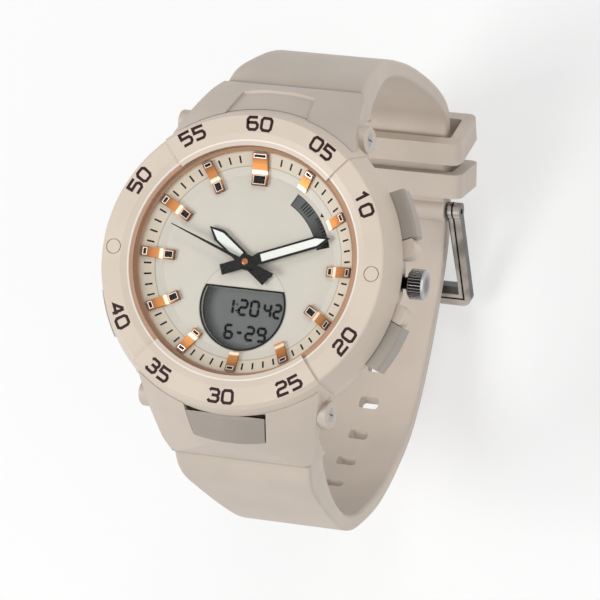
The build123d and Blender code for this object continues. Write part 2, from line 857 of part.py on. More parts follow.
coil_z = holder_base_z + coil_flange_r
with BuildPart() as stepper_coil:
    with BuildSketch(Plane.YZ.offset(coil_x - coil_length / 2)):
        with Locations((coil_y, coil_z)):
            Circle(coil_r)
    extrude(amount=coil_length)
    for start in (coil_x - coil_length / 2, coil_x + coil_length / 2 - coil_flange_t):
        with BuildSketch(Plane.YZ.offset(start)):
            with Locations((coil_y, coil_z)):
                Rectangle(2 * coil_flange_r, 2 * coil_flange_r - 2 * pocket_gap)
        extrude(amount=coil_flange_t)
finish(stepper_coil, "stepper_coil")

with BuildPart() as quartz_can:
    with BuildSketch(Plane.XZ.offset(-quartz_y - quartz_length / 2)):
        with Locations((quartz_x, coil_z)):
            Circle(quartz_r)
    extrude(amount=quartz_length)
finish(quartz_can, "quartz_can")

# Circuit board on the holder, with a ring of room round the arbor
with BuildPart() as circuit_board:
    with BuildSketch(Plane.XY.offset(board_z)):
        Circle(board_r)
        Circle(seconds_arbor_r + running_gap, mode=Mode.SUBTRACT)
    extrude(amount=board_t)
finish(circuit_board, "circuit_board")

# Dial spacer, notched where the button stems, their clips and the crown stem come in
notch_w = 2 * clip_r + 4 * pocket_gap
with BuildPart() as dial_spacer:
    with BuildSketch(Plane.XY.offset(spacer_z)):
        Circle(holder_r)
        Circle(spacer_inner_r, mode=Mode.SUBTRACT)
    extrude(amount=dial_seat_z - spacer_z)
    for angle in (*button_angles.values(), -90):
        with BuildSketch(radial_plane(angle, spacer_z, board_r)):
            Rectangle(notch_w, 2 * (front_stem_z + clip_r + seat_gap - spacer_z))
        extrude(amount=case_r, mode=Mode.SUBTRACT)
finish(dial_spacer, "dial_spacer")

# Display panel under its window, with a contact strip on each long side
lcd_panel_z = dial_seat_z - lcd_panel_t
with BuildPart() as lcd_panel:
    with BuildSketch(Plane.XY.offset(lcd_panel_z)):
        Circle(spacer_inner_r - pocket_gap)
        with Locations((0, lcd_panel_top_y - spacer_inner_r / 2)):
            Rectangle(lcd_panel_w, spacer_inner_r, mode=Mode.INTERSECT)
    extrude(amount=lcd_panel_t)
finish(lcd_panel, "lcd_panel")

with BuildPart() as contact_strips:
    with BuildSketch(Plane.XY.offset(board_z + board_t)):
        with Locations((0, strip_top_y), (0, strip_bottom_y)):
            Rectangle(strip_length, strip_w)
    extrude(amount=lcd_panel_z - board_z - board_t)
finish(contact_strips, "contact_strips")

with BuildPart() as arc_panel:
    with BuildSketch(Plane.XY.offset(dial_seat_z)):
        add(arc_window(arc_inner_r + running_gap, arc_outer_r - running_gap))
    extrude(amount=arc_panel_t)
finish(arc_panel, "arc_panel")

# Side buttons: a cap that fills its pocket, a stem into the case and a clip on the stem
for name, angle in button_angles.items():
    proud = button_right_proud if name in ("start", "reset") else button_left_proud
    button_outer_r = case_r + proud
    with BuildPart() as side_button:
        with BuildSketch(radial_plane(angle, button_z, button_inner_r)):
            Rectangle(button_w, button_h)
        extrude(amount=button_outer_r - button_inner_r)
        with BuildSketch(Plane.XY):
            Circle(button_outer_r)
        extrude(amount=rim_z, mode=Mode.INTERSECT)
        outer_edges = side_button.edges().filter_by(GeomType.CIRCLE)
        chamfer(outer_edges, length=button_edge)
        with BuildSketch(radial_plane(angle, stem_z, stem_inner_r)):
            Circle(stem_r)
        extrude(amount=button_inner_r - stem_inner_r)
    finish(side_button, f"button_{name}")
    with BuildPart() as side_clip:
        with BuildSketch(radial_plane(angle, stem_z, clip_place_r - clip_t)):
            Circle(clip_r)
            Circle(stem_r, mode=Mode.SUBTRACT)
        extrude(amount=clip_t)
    finish(side_clip, f"clip_{name}")

# Seal rings round the side button stems, seated in the case
with BuildPart() as button_seals:
    for angle in button_angles.values():
        with BuildSketch(radial_plane(angle, stem_z, pocket_floor_r - button_seal_t)):
            Circle(button_seal_r)
            Circle(stem_bore_r, mode=Mode.SUBTRACT)
        extrude(amount=button_seal_t)
finish(button_seals, "button_seals")

# Crown with turned flutes, its seal and its stem
with BuildPart() as crown:
    with BuildSketch(Plane.YZ.offset(crown_inner_x)):
        with Locations((0, crown_z)):
            Circle(crown_r)
    extrude(amount=crown_length)
    rims = crown.edges().filter_by(GeomType.CIRCLE).sort_by(Axis.X)
    chamfer(rims, length=crown_chamfer)
    with BuildSketch(Plane.YZ.offset(crown_inner_x + crown_chamfer)):
        with Locations((0, crown_z)):
            with PolarLocations(crown_r, crown_flutes):
                Circle(crown_flute_r, mode=Mode.ADD)
    extrude(amount=crown_length - 2 * crown_chamfer, mode=Mode.SUBTRACT)
    with BuildSketch(Plane.YZ.offset(crown_neck_x)):
        with Locations((0, crown_z)):
            Circle(crown_neck_r)
    extrude(amount=crown_inner_x - crown_neck_x)
finish(crown, "crown")

with BuildPart() as crown_stem:
    with BuildSketch(Plane.YZ.offset(crown_stem_x)):
        with Locations((0, crown_z)):
            Circle(crown_stem_r)
    extrude(amount=crown_neck_x - crown_stem_x)
finish(crown_stem, "crown_stem")

with BuildPart() as crown_seal:
    with BuildSketch(Plane.YZ.offset(crown_seal_x)):
        with Locations((0, crown_z)):
            Circle(crown_bore_r - running_gap)
            Circle(crown_neck_r + running_gap, mode=Mode.SUBTRACT)
    extrude(amount=crown_seal_t)
finish(crown_seal, "crown_seal")


# Strap roots: a wedge from the bezel down to the crease, with ears beside the case
def root_section(growth, step=0.0):
    """Side view of the 12 o'clock root, its outer face moved outward by growth.

    The crease end of that face is lowered by step, which leaves the strap proud of it.
    """
    lowered = step / (root_crease_z - root_under_z)
    end_y = root_crease_y + growth - lowered * (root_crease_y - root_under_y)
    end_z = root_crease_z - step
    with BuildSketch() as section:
        with BuildLine():
            Polyline(
                (root_belly_y, root_back_z), (root_back_y, root_back_z),
                (root_back_y, root_top_z), (root_top_y + growth, root_top_z),
            )
            ThreePointArc(
                (root_top_y + growth, root_top_z), (root_bulge_y + growth, root_bulge_z),
                (end_y, end_z),
            )
            Line((end_y, end_z), (root_under_y, root_under_z))
            ThreePointArc(
                (root_under_y, root_under_z),
                ((root_under_y + root_belly_y) / 2, root_belly_z),
                (root_belly_y, root_back_z),
            )
        make_face()
    return section.sketch


def root_solid(growth, step=0.0):
    """The root's side view, run out to both sides."""
    with BuildPart() as wedge:
        with BuildSketch(Plane.YZ):
            add(root_section(growth, step))
        extrude(amount=root_half_w, both=True)
    return wedge.part


def crowned(growth):
    """Turned block whose side is the roots' crowned outer face."""
    with BuildPart() as block:
        with BuildSketch(Plane.XZ):
            with BuildLine():
                Polyline(
                    (root_foot_y + growth, root_crease_z), (root_foot_y + growth, root_under_z),
                    (0, root_under_z), (0, root_top_z), (root_top_y + growth, root_top_z),
                )
                ThreePointArc(
                    (root_top_y + growth, root_top_z), (root_crown_y + growth, root_crown_z),
                    (root_foot_y + growth, root_crease_z),
                )
            make_face()
        revolve(axis=Axis.Z)
    return block.part


def bezel_room():
    """What the case and the bezel take out of a root, with its clearance."""
    outer = sector_proud + root_case_gap
    with BuildPart() as room:
        with BuildSketch(Plane.XZ):
            with BuildLine():
                Polyline(
                    (0, root_back_z - seat_gap), (case_r + root_case_gap, root_back_z - seat_gap),
                    (case_r + root_case_gap, shoulder_z - root_case_gap),
                    (bezel_r + outer, shoulder_z - root_case_gap),
                    (bezel_shoulder_r + outer, bezel_edge_z), (0, bezel_edge_z),
                    close=True,
                )
            make_face()
        revolve(axis=Axis.Z)
    return room.part


def trapezoid(shrink):
    """Front view of the front button's recess, for a plane that looks along Y."""
    half_top = front_w / 2 - shrink
    half_low = front_low_w / 2 - shrink
    with BuildSketch() as shape:
        with BuildLine():
            Polyline(
                (-half_low, front_bottom_z + shrink), (half_low, front_bottom_z + shrink),
                (half_top, root_top_z + overrun), (-half_top, root_top_z + overrun),
                close=True,
            )
        make_face()
    return shape.sketch


def strap_root(recess_depth, step):
    """Root at 12 o'clock, with a trapezoid recess below the bezel, through if no depth is given."""
    with BuildPart() as recess:
        with BuildSketch(Plane.XZ.offset(overrun - case_r)):
            add(trapezoid(0))
        extrude(amount=-case_r)
        if recess_depth is not None:
            floor = root_solid(-recess_depth, step) & crowned(-recess_depth)
            add(floor, mode=Mode.SUBTRACT)
    with BuildPart() as root:
        add(root_solid(0, step))
        with BuildSketch(Plane.XY.offset(root_under_z)):
            with BuildLine():
                Polyline(
                    (-root_half_w, 0), (root_half_w, 0), (root_half_w, root_wide_y),
                    (root_mid_half_w, root_mid_y), (root_knee_half_w, root_crease_y),
                    (-root_knee_half_w, root_crease_y), (-root_mid_half_w, root_mid_y),
                    (-root_half_w, root_wide_y),
                    close=True,
                )
            make_face()
        extrude(amount=root_top_z - root_under_z, mode=Mode.INTERSECT)
        # below the ears the sides draw in to the width of the strap
        for side in (1, -1):
            with BuildSketch(Plane.XZ.offset(-root_ear_y)):
                with BuildLine():
                    Polyline(
                        (side * root_half_w, root_knee_z), (side * crease_half_w, root_crease_z),
                        (side * crease_half_w, root_under_z - overrun),
                        (side * 2 * root_half_w, root_under_z - overrun),
                        (side * 2 * root_half_w, root_knee_z),
                        close=True,
                    )
                make_face()
            extrude(amount=-case_r, mode=Mode.SUBTRACT)
        add(crowned(0), mode=Mode.INTERSECT)
        add(bezel_room(), mode=Mode.SUBTRACT)
        add(recess.part, mode=Mode.SUBTRACT)
        for side in (1, -1):
            with BuildSketch(Plane.YZ.offset(side * root_knee_half_w)):
                with Locations((pin_y, pin_z)):
                    Ellipse(boss_r, boss_long)
            extrude(amount=side * (root_half_w + boss_proud - root_knee_half_w))
        add(bezel_room(), mode=Mode.SUBTRACT)
        with BuildSketch(Plane.YZ):
            with Locations((pin_y, pin_z)):
                Circle(pin_r)
        extrude(amount=case_r, both=True, mode=Mode.SUBTRACT)
        for side in (1, -1):
            with BuildSketch(Plane.YZ.offset(side * (root_half_w + boss_proud - pin_head_t))):
                with Locations((pin_y, pin_z)):
                    Circle(pin_head_r)
            extrude(amount=side * overrun, mode=Mode.SUBTRACT)
    return root.part


# Routes of the strap in the side view: a start inside the root, then shares of the loop's
# half height and depth
route_start_out = 0.675     # beyond the root's under edge
route_start_rise = 3.1255   # above that edge
upper_route_shares = (
    (0.824, 0.163), (0.901, 0.255), (0.943, 0.362), (0.965, 0.483),
    (0.966, 0.600), (0.958, 0.690), (0.941, 0.766), (0.901, 0.829),
)
lower_route_shares = (
    (-0.797, 0.172), (-0.853, 0.276), (-0.895, 0.388), (-0.905, 0.509),
    (-0.851, 0.629), (-0.765, 0.738), (-0.630, 0.838), (-0.453, 0.925), (-0.256, 0.972),
    (-0.040, 1.000), (0.147, 1.014), (0.320, 1.018),
)
route_ease_shares = (1, 1)  # how far each end keeps its direction
upper_thin_share = 0.45     # where the upper strap has thinned to its full flexible stretch
lower_thin_share = 0.25
narrow_share = 0.6          # where both have narrowed to their end width


def route_points(shares, side):
    start = (side * (root_under_y + route_start_out), root_under_z + route_start_rise)
    return [start] + [(y * loop_half_h, -z * loop_depth) for y, z in shares]


def eased(position, reach, near, far):
    """Size that falls from near to far over a share of the route, flat at the far end."""
    return far + (near - far) * max(0, 1 - position / reach) ** 2


def strap_station(route, share):
    """Plane across the strap at a share of its route."""
    return Plane(origin=route @ share, x_dir=(1, 0, 0), z_dir=route % share)


def strap_band(route, stations, end_w, thin_share):
    """Band lofted through rounded sections along its route."""
    with BuildPart() as band:
        for index in range(stations + 1):
            share = index / stations
            width = eased(share, narrow_share, 2 * crease_half_w, end_w)
            thickness = eased(share, thin_share, strap_root_t, strap_t)
            with BuildSketch(strap_station(route, share)):
                RectangleRounded(width, thickness, strap_corner)
        loft()
    return band.part


# The straight stretch behind the wrist, and the outward normal there
straight_dy = bar_y - straight_start_y
straight_dz = bar_z - straight_start_z
straight_length = (straight_dy**2 + straight_dz**2) ** 0.5
along_y = straight_dy / straight_length
along_z = straight_dz / straight_length
out_y, out_z = -along_z, along_y
layer_offset = wrap_r + layer_gap + strap_t / 2


def straight_plane(distance, lift=0.0):
    """Plane across the strap, a distance along the straight stretch, lifted outward."""
    y = straight_start_y + along_y * distance + out_y * lift
    z = straight_start_z + along_z * distance + out_z * lift
    return Plane(origin=(0, y, z), x_dir=(1, 0, 0), z_dir=(0, along_y, along_z))


with BuildLine(Plane.YZ) as upper_line:
    Spline(
        *route_points(upper_route_shares, 1), (straight_start_y, straight_start_z),
        tangents=((root_crease_z - root_under_z, root_under_y - root_crease_y), (along_y, along_z)),
        tangent_scalars=route_ease_shares,
    )
upper_route = upper_line.edges()[0]

with BuildPart() as strap_upper:
    add(strap_root(pad_depth, crease_step))
    add(strap_band(upper_route, upper_stations, buckle_end_w, upper_thin_share))
    with BuildSketch(straight_plane(0)):
        RectangleRounded(buckle_end_w, strap_t, strap_corner)
    extrude(amount=straight_length)
    with BuildSketch(Plane.YZ):
        with Locations((bar_y, bar_z)):
            Circle(wrap_r)
    extrude(amount=buckle_end_w / 2, both=True)
    with BuildSketch(Plane.YZ):
        with Locations((bar_y, bar_z)):
            Circle(bar_r)
    extrude(amount=buckle_end_w, both=True, mode=Mode.SUBTRACT)
    with BuildSketch(straight_plane(straight_length - 2 * tongue_eye_r)):
        Rectangle(tongue_notch_w, 3 * wrap_r)
    extrude(amount=2 * tongue_eye_r + wrap_r + overrun, mode=Mode.SUBTRACT)
finish(strap_upper, "strap_upper")

# The lower strap runs outside the upper one, through the keepers, to its tail
tail_start = straight_length + wrap_r + bar_r
tail_plane = straight_plane(tail_start, layer_offset)
tail_y = tail_plane.origin.Y
tail_z = tail_plane.origin.Z
with BuildLine(Plane.YZ) as lower_line:
    Spline(
        *route_points(lower_route_shares, -1), (tail_y, tail_z),
        tangents=((root_under_z - root_crease_z, root_under_y - root_crease_y), (-along_y, -along_z)),
        tangent_scalars=route_ease_shares,
    )
lower_route = lower_line.edges()[0]


def slot_share(wanted_y):
    """Share of the lower route at which it reaches a given y behind the wrist."""
    low, high = 0.5, 1.0
    while high - low > seat_gap / case_r / case_r:
        middle = (low + high) / 2
        if (lower_route @ middle).Y < wanted_y:
            low = middle
        else:
            high = middle
    return low


slot_start = slot_share(tongue_slot_y) * lower_route.length
strap_tail_length = tail_start - tail_end
lower_root = strap_root(None, 0).mirror(Plane.XZ)
with BuildPart() as strap_lower:
    add(lower_root)
    add(strap_band(lower_route, lower_stations, strap_end_w, lower_thin_share))
    with BuildSketch(straight_plane(tail_end, layer_offset)):
        RectangleRounded(strap_end_w, strap_t, strap_corner)
    extrude(amount=strap_tail_length)
    # crease groove on the outer face
    crease = Plane(
        origin=(0, -root_crease_y, root_crease_z),
        x_dir=(1, 0, 0),
        z_dir=(0, root_crease_y - root_under_y, root_under_z - root_crease_z),
    )
    with BuildSketch(crease):
        Rectangle(3 * crease_half_w, crease_groove_w)
    extrude(amount=crease_groove_depth, both=True, mode=Mode.SUBTRACT)
    # slots, counted from the one in use
    for index in range(-slots_after, slots_before + 1):
        place = slot_start + index * slot_pitch
        if place < lower_route.length:
            across = strap_station(lower_route, place / lower_route.length)
        else:
            across = straight_plane(tail_start - place + lower_route.length, layer_offset)
        with BuildSketch(Plane(origin=across.origin, x_dir=(1, 0, 0), z_dir=across.y_dir)):
            RectangleRounded(slot_w, slot_length, strap_corner)
        extrude(amount=strap_t, both=True, mode=Mode.SUBTRACT)
finish(strap_lower, "strap_lower")

# Front button in the lower root's recess, with its stem and clip
front_face = (root_solid(front_proud) & crowned(front_proud)).mirror(Plane.XZ)
with BuildPart() as button_front:
    with BuildSketch(Plane.XZ.offset(-front_inner_y)):
        add(trapezoid(slide_gap))
    extrude(amount=case_r)
    add(front_face, mode=Mode.INTERSECT)
    with BuildSketch(Plane.XZ.offset(-front_inner_y)):
        with Locations((0, (front_top_z + front_bottom_z) / 2)):
            Rectangle(2 * front_w, front_top_z - front_bottom_z)
    extrude(amount=case_r, mode=Mode.INTERSECT)
    with BuildSketch(Plane.XZ.offset(-front_stem_y)):
        with Locations((0, front_stem_z)):
            Circle(stem_r)
    extrude(amount=front_stem_y - front_inner_y)
finish(button_front, "button_front")

with BuildPart() as clip_front:
    with BuildSketch(Plane.XZ.offset(-front_clip_y - clip_t)):
        with Locations((0, front_stem_z)):
            Circle(clip_r)
            Circle(stem_r, mode=Mode.SUBTRACT)
    extrude(amount=clip_t)
finish(clip_front, "clip_front")

# Strap pins, headed at both ends
for name, side in (("strap_pin_upper", 1), ("strap_pin_lower", -1)):
    with BuildPart() as strap_pin:
        with BuildSketch(Plane.YZ):
            with Locations((side * pin_y, pin_z)):
                Circle(pin_r)
        extrude(amount=root_half_w + boss_proud - pin_head_t, both=True)
        for end in (1, -1):
            head_plane = Plane.YZ.offset(end * (root_half_w + boss_proud - pin_head_t))
            with BuildSketch(head_plane):
                with Locations((side * pin_y, pin_z)):
                    Circle(pin_head_r)
            extrude(amount=end * pin_head_t)
            with BuildSketch(Plane.YZ.offset(end * (root_half_w + boss_proud))):
                with Locations((side * pin_y, pin_z)):
                    Rectangle(screw_slot_w, 2 * pin_head_r)
            extrude(amount=-end * screw_slot_w, mode=Mode.SUBTRACT)
    finish(strap_pin, name)

# Keepers: rounded loops round both straps
keeper_inner_w = buckle_end_w + 2 * keeper_side_gap
keeper_inner_h = layer_offset + strap_t + 2 * keeper_gap
keeper_one_plane = straight_plane(keeper_one_place, keeper_one_lift).rotated((keeper_one_tilt, 0, 0))
keeper_two_plane = straight_plane(keeper_two_place, layer_offset / 2)
for name, place in (("keeper_one", keeper_one_plane), ("keeper_two", keeper_two_plane)):
    with BuildPart() as keeper:
        with BuildSketch(place):
            RectangleRounded(
                keeper_inner_w + 2 * keeper_wall, keeper_inner_h + 2 * keeper_wall, keeper_corner
            )
            RectangleRounded(keeper_inner_w, keeper_inner_h, strap_corner, mode=Mode.SUBTRACT)
        extrude(amount=keeper_w / 2, both=True)
    finish(keeper, name)

# Buckle: spring bar, frame and tongue on one axis
frame_arm_x = buckle_end_w / 2 + frame_arm_gap
with BuildPart() as spring_bar:
    with BuildSketch(Plane.YZ):
        with Locations((bar_y, bar_z)):
            Circle(bar_r)
    extrude(amount=frame_arm_x - seat_gap, both=True)
    with BuildSketch(Plane.YZ):
        with Locations((bar_y, bar_z)):
            Circle(bar_tip_r)
    extrude(amount=frame_arm_x + bar_tip_length, both=True)
finish(spring_bar, "spring_bar")

arm_length = (frame_end_back**2 + frame_end_drop**2) ** 0.5
arm_reach = arm_length + frame_bar_w / 2
frame_eye_x = frame_arm_x + frame_arm_t
frame_plane = Plane(
    origin=(0, bar_y, bar_z), x_dir=(1, 0, 0), z_dir=(0, -frame_end_drop, frame_end_back)
)
with BuildPart() as buckle_frame:
    with BuildSketch(frame_plane):
        with BuildLine():
            Polyline(
                (frame_eye_x, 0), (frame_eye_x + frame_flare, -arm_reach),
                (-frame_eye_x - frame_flare, -arm_reach), (-frame_eye_x, 0),
                close=True,
            )
        make_face()
        with BuildLine():
            Polyline(
                (frame_arm_x, 0), (frame_arm_x + frame_flare, frame_bar_w - arm_reach),
                (-frame_arm_x - frame_flare, frame_bar_w - arm_reach), (-frame_arm_x, 0),
                close=True,
            )
        make_face(mode=Mode.SUBTRACT)
    extrude(amount=frame_bar_t / 2, both=True)
    corners = buckle_frame.edges().filter_by(lambda edge: abs(edge.length - frame_bar_t) < seat_gap)
    fillet(corners.sort_by(Axis.Y)[:2], radius=frame_corner)
    for side in (1, -1):
        with BuildSketch(Plane.YZ.offset(side * frame_arm_x)):
            with Locations((bar_y, bar_z)):
                Circle(frame_eye_r)
        extrude(amount=side * frame_arm_t)
    with BuildSketch(Plane.YZ):
        with Locations((bar_y, bar_z)):
            Circle(bar_tip_r + running_gap)
    extrude(amount=2 * frame_arm_x, both=True, mode=Mode.SUBTRACT)
finish(buckle_frame, "buckle_frame")


def tongue_z(y):
    """Height of the tongue's outer stretch, which lies along the outside of the frame."""
    lift = (frame_bar_t + tongue_t) / 2 + slide_gap
    return bar_z - ((bar_y - y) * frame_end_drop + lift * arm_length) / frame_end_back


with BuildPart() as buckle_tongue:
    with BuildSketch(Plane.YZ):
        with Locations((bar_y, bar_z)):
            Circle(tongue_eye_r)
        with BuildLine():
            Polyline(
                (bar_y, tongue_bend_z), (tongue_slot_y, tongue_bend_z),
                (tongue_slot_y, tongue_z(tongue_slot_y)),
                (tongue_tip_y, tongue_z(tongue_tip_y)),
            )
            offset(amount=tongue_t / 2, kind=Kind.INTERSECTION)
        make_face()
        with Locations((bar_y, bar_z)):
            Circle(bar_r + running_gap, mode=Mode.SUBTRACT)
    extrude(amount=tongue_w / 2, both=True)
finish(buckle_tongue, "buckle_tongue")
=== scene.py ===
from math import ceil, cos, hypot, radians, sin, tau

import bmesh
import bpy
from mathutils import Matrix, Vector


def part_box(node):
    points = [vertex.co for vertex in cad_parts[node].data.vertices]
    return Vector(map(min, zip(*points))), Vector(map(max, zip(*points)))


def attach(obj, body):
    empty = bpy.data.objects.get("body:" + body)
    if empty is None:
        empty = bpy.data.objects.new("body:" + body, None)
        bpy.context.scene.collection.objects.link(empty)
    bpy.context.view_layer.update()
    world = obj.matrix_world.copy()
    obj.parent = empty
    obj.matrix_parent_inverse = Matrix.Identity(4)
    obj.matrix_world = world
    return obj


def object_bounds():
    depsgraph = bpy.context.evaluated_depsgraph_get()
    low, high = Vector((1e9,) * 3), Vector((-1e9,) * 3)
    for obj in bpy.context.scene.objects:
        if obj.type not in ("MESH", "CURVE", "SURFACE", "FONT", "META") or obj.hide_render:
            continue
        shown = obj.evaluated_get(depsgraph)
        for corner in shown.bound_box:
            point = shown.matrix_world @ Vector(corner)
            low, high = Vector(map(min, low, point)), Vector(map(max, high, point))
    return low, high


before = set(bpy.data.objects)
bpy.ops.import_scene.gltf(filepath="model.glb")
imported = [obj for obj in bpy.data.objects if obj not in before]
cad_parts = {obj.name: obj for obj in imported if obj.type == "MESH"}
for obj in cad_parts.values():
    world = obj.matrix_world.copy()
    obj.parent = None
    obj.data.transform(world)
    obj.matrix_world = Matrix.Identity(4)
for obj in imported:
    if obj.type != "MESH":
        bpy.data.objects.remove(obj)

bl_info = {
    "name": "Ana digi watch dressing",
    "version": (1, 0, 0),
    "blender": (4, 5, 0),
    "location": "View3D > Sidebar > Watch",
    "description": "Prints the dial, lights the displays and finishes every part of the watch",
    "category": "Object",
}

MM = 0.001
CAD_BOX = [list(corner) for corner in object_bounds()]


def toned(colour, share):
    """A neighbour of a colour as seen on screen, darker for a share under one."""
    return [c * share for c in colour]


def linear(colour, share=1.0):
    """A colour as seen on screen, toned, as the shader's linear values with full alpha."""
    return (*(((c + 0.055) / 1.055) ** 2.4 if c > 0.04045 else c / 12.92
              for c in toned(colour, share)), 1)


# Shader maths ------------------------------------------------------------------------

class Wire:
    """An output socket that can be used in a Python expression."""

    def __init__(self, bench, socket):
        self.bench = bench
        self.socket = socket

    def maths(self, operation, *values):
        """Adds a Math node for an operation on values."""
        return self.bench.node("ShaderNodeMath", {"operation": operation}, dict(enumerate(values)))

    def __add__(self, other):
        return self.maths("ADD", self, other)

    __radd__ = __add__

    def __sub__(self, other):
        return self.maths("SUBTRACT", self, other)

    def __rsub__(self, other):
        return self.maths("SUBTRACT", other, self)

    def __mul__(self, other):
        return self.maths("MULTIPLY", self, other)

    __rmul__ = __mul__

    def __pow__(self, other):
        return self.maths("POWER", self, other)

    def __abs__(self):
        return self.maths("ABSOLUTE", self)

    def least(self, other):
        return self.maths("MINIMUM", self, other)

    def most(self, other):
        return self.maths("MAXIMUM", self, other)

    def ramp(self, low, high):
        """Nought up to low, one from high, smooth between them."""
        return self.bench.node(
            "ShaderNodeMapRange", {"interpolation_type": "SMOOTHSTEP"},
            {"Value": self, "From Min": low, "From Max": high},
        )

    def band(self, low, high, soft):
        """One between low and high, with soft edges."""
        return self.ramp(low - soft, low + soft) * (1 - self.ramp(high - soft, high + soft))


class NodeBench:
    """A node tree, with one way to add any node to it."""

    def __init__(self, tree):
        self.tree = tree

    def plug(self, socket, value):
        """Links a wire to a socket, or sets the socket's own value."""
        if isinstance(value, Wire):
            self.tree.links.new(value.socket, socket)
        else:
            socket.default_value = value

    def node(self, kind, settings=None, inputs=None, output=0):
        """Adds a node: first its settings, then the values or links of its sockets."""
        made = self.tree.nodes.new(kind)
        for name, value in (settings or {}).items():
            setattr(made, name, value)
        for name, value in (inputs or {}).items():
            self.plug(made.inputs[name], value)
        return Wire(self, made.outputs[output])

    def backdrop_rays(self):
        """One for the rays that should meet a white backdrop: the eye's and the mirrored ones."""
        seen = self.node("ShaderNodeLightPath", output="Is Camera Ray")
        rays = seen.socket.node.outputs
        for name in ("Is Glossy Ray", "Is Transmission Ray"):
            seen = seen.most(Wire(self, rays[name]))
        return seen


class Finish(NodeBench):
    """One material round a Principled shader."""

    def __init__(self, name, **constants):
        self.material = bpy.data.materials.new(name)
        self.material.use_nodes = True
        super().__init__(self.material.node_tree)
        self.shader = self.tree.nodes["Principled BSDF"]
        self.end = self.tree.nodes["Material Output"]
        self.feed(**constants)

    def feed(self, **values):
        """Sets the shader's sockets, with an underscore for each space in a name."""
        for name, value in values.items():
            self.plug(self.shader.inputs[name.replace("_", " ")], value)

    def principled(self):
        """The shader's own output, to be mixed with another."""
        return Wire(self, self.shader.outputs[0])

    def surface(self, factor, one, two):
        """Makes the surface a mix of two shaders."""
        mixed = self.node("ShaderNodeMixShader", inputs={0: factor, 1: one, 2: two})
        self.plug(self.end.inputs["Surface"], mixed)

    def place(self):
        """The point on the part, in metres in the watch's frame."""
        return self.node("ShaderNodeTexCoord", output="Object")

    def across(self):
        """The point's x, y and z in millimetres."""
        scaled = self.node("ShaderNodeVectorMath", {"operation": "SCALE"},
                           {0: self.place(), "Scale": 1 / MM})
        return self.split(scaled)

    def split(self, vector):
        """The three parts of a vector."""
        first = self.node("ShaderNodeSeparateXYZ", inputs={0: vector})
        return first, *(Wire(self, first.socket.node.outputs[i]) for i in (1, 2))

    def reach(self, middle_y=0.0):
        """Distance in millimetres from an upright line through a point of the 12 to 6 line."""
        x, y, _ = self.across()
        low = y - middle_y
        return (x * x + low * low) ** 0.5

    def noise(self, size_mm, detail, roughness=0.5, vector=None):
        """Cloudy noise with features of about a size."""
        return self.node(
            "ShaderNodeTexNoise",
            inputs={"Vector": vector or self.place(), "Scale": 1 / (size_mm * MM),
                    "Detail": detail, "Roughness": roughness},
        )

    def stretched(self, scale):
        """The point with each axis scaled, for brushed or drawn grain."""
        return self.node("ShaderNodeVectorMath", {"operation": "MULTIPLY"},
                         {0: self.place(), 1: scale})

    def mix(self, factor, one, two):
        """Blends two colours."""
        return self.node(
            "ShaderNodeMix", {"data_type": "RGBA"},
            {"Factor": factor, 6: one, 7: two}, output=2,
        )

    def bump(self, height, strength, depth_mm):
        """Raises the surface's grain, and gives the finish back."""
        self.feed(Normal=self.node(
            "ShaderNodeBump",
            inputs={"Strength": strength, "Distance": depth_mm * MM, "Height": height},
        ))
        return self


def moulded(name, colour, shade, roughness=0.46, grain_mm=0.16, grain=0.1, specular=0.42,
            paint=None):
    """Satin moulded resin: slow colour drift, fine spark grain, softly uneven gloss.

    paint(finish, base) may lay another colour over the base colour.
    """
    drift_mm, speck_mm, gloss_mm, depth_mm = 9.0, 0.5, 2.5, 0.02
    uneven = 0.1
    finish = Finish(name, Specular_IOR_Level=specular)
    drift = finish.noise(drift_mm, detail=2.0).ramp(0.3, 0.7)
    speck = finish.noise(speck_mm, detail=4.0, roughness=0.6)
    base = finish.mix(drift * 0.7 + speck * 0.3, linear(colour), linear(shade))
    finish.feed(
        Base_Color=paint(finish, base) if paint else base,
        Roughness=roughness - uneven / 2 + finish.noise(gloss_mm, detail=3.0) * uneven,
    )
    return finish.bump(finish.noise(grain_mm, detail=2.0, roughness=0.6), grain, depth_mm)


def metal(name, colour, roughness, grain_mm=0.4, stretch=(1, 1, 1), grain=0.05, smear=0.06,
          painted_light=None):
    """Polished or brushed metal with a faint drawn grain.

    painted_light(finish, shine) may lay painted shade, highlights and reflections over the metal's
    colour.
    """
    cloud_mm, depth_mm = 3.0, 0.01
    finish = Finish(name, Metallic=1.0)
    drawn = finish.noise(grain_mm, detail=3.0, roughness=0.6, vector=finish.stretched(stretch))
    cloud = finish.noise(cloud_mm, detail=2.0)
    shine = finish.mix(cloud * 0.5, linear(colour), linear(colour, 0.86))
    finish.feed(
        Base_Color=painted_light(finish, shine) if painted_light else shine,
        Roughness=roughness + (drawn - 0.5) * smear + (cloud - 0.5) * smear,
    )
    return finish.bump(drawn, grain, depth_mm)


# Mesh helpers ------------------------------------------------------------------------

def put(name, data):
    """A new object in the scene."""
    made = bpy.data.objects.new(name, data)
    bpy.context.scene.collection.objects.link(made)
    return made


def piece(name, body, finish):
    """An empty mesh object that rides on a body, to be filled with a bmesh."""
    made = put(name, bpy.data.meshes.new(name))
    made.data.materials.append(finish.material)
    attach(made, body)
    return made


def prism(sheet, corners, lift, onto):
    """A thin plate with an outline of (x, y) in mm, from lift mm below onto(x, y) to lift above."""
    low, high = [], []
    for x, y in corners:
        z = onto(x, y)
        low.append(sheet.verts.new((x * MM, y * MM, (z - lift) * MM)))
        high.append(sheet.verts.new((x * MM, y * MM, (z + lift) * MM)))
    sheet.faces.new(high)
    sheet.faces.new(low[::-1])
    count = len(corners)
    for i in range(count):
        j = (i + 1) % count
        sheet.faces.new((low[i], low[j], high[j], high[i]))


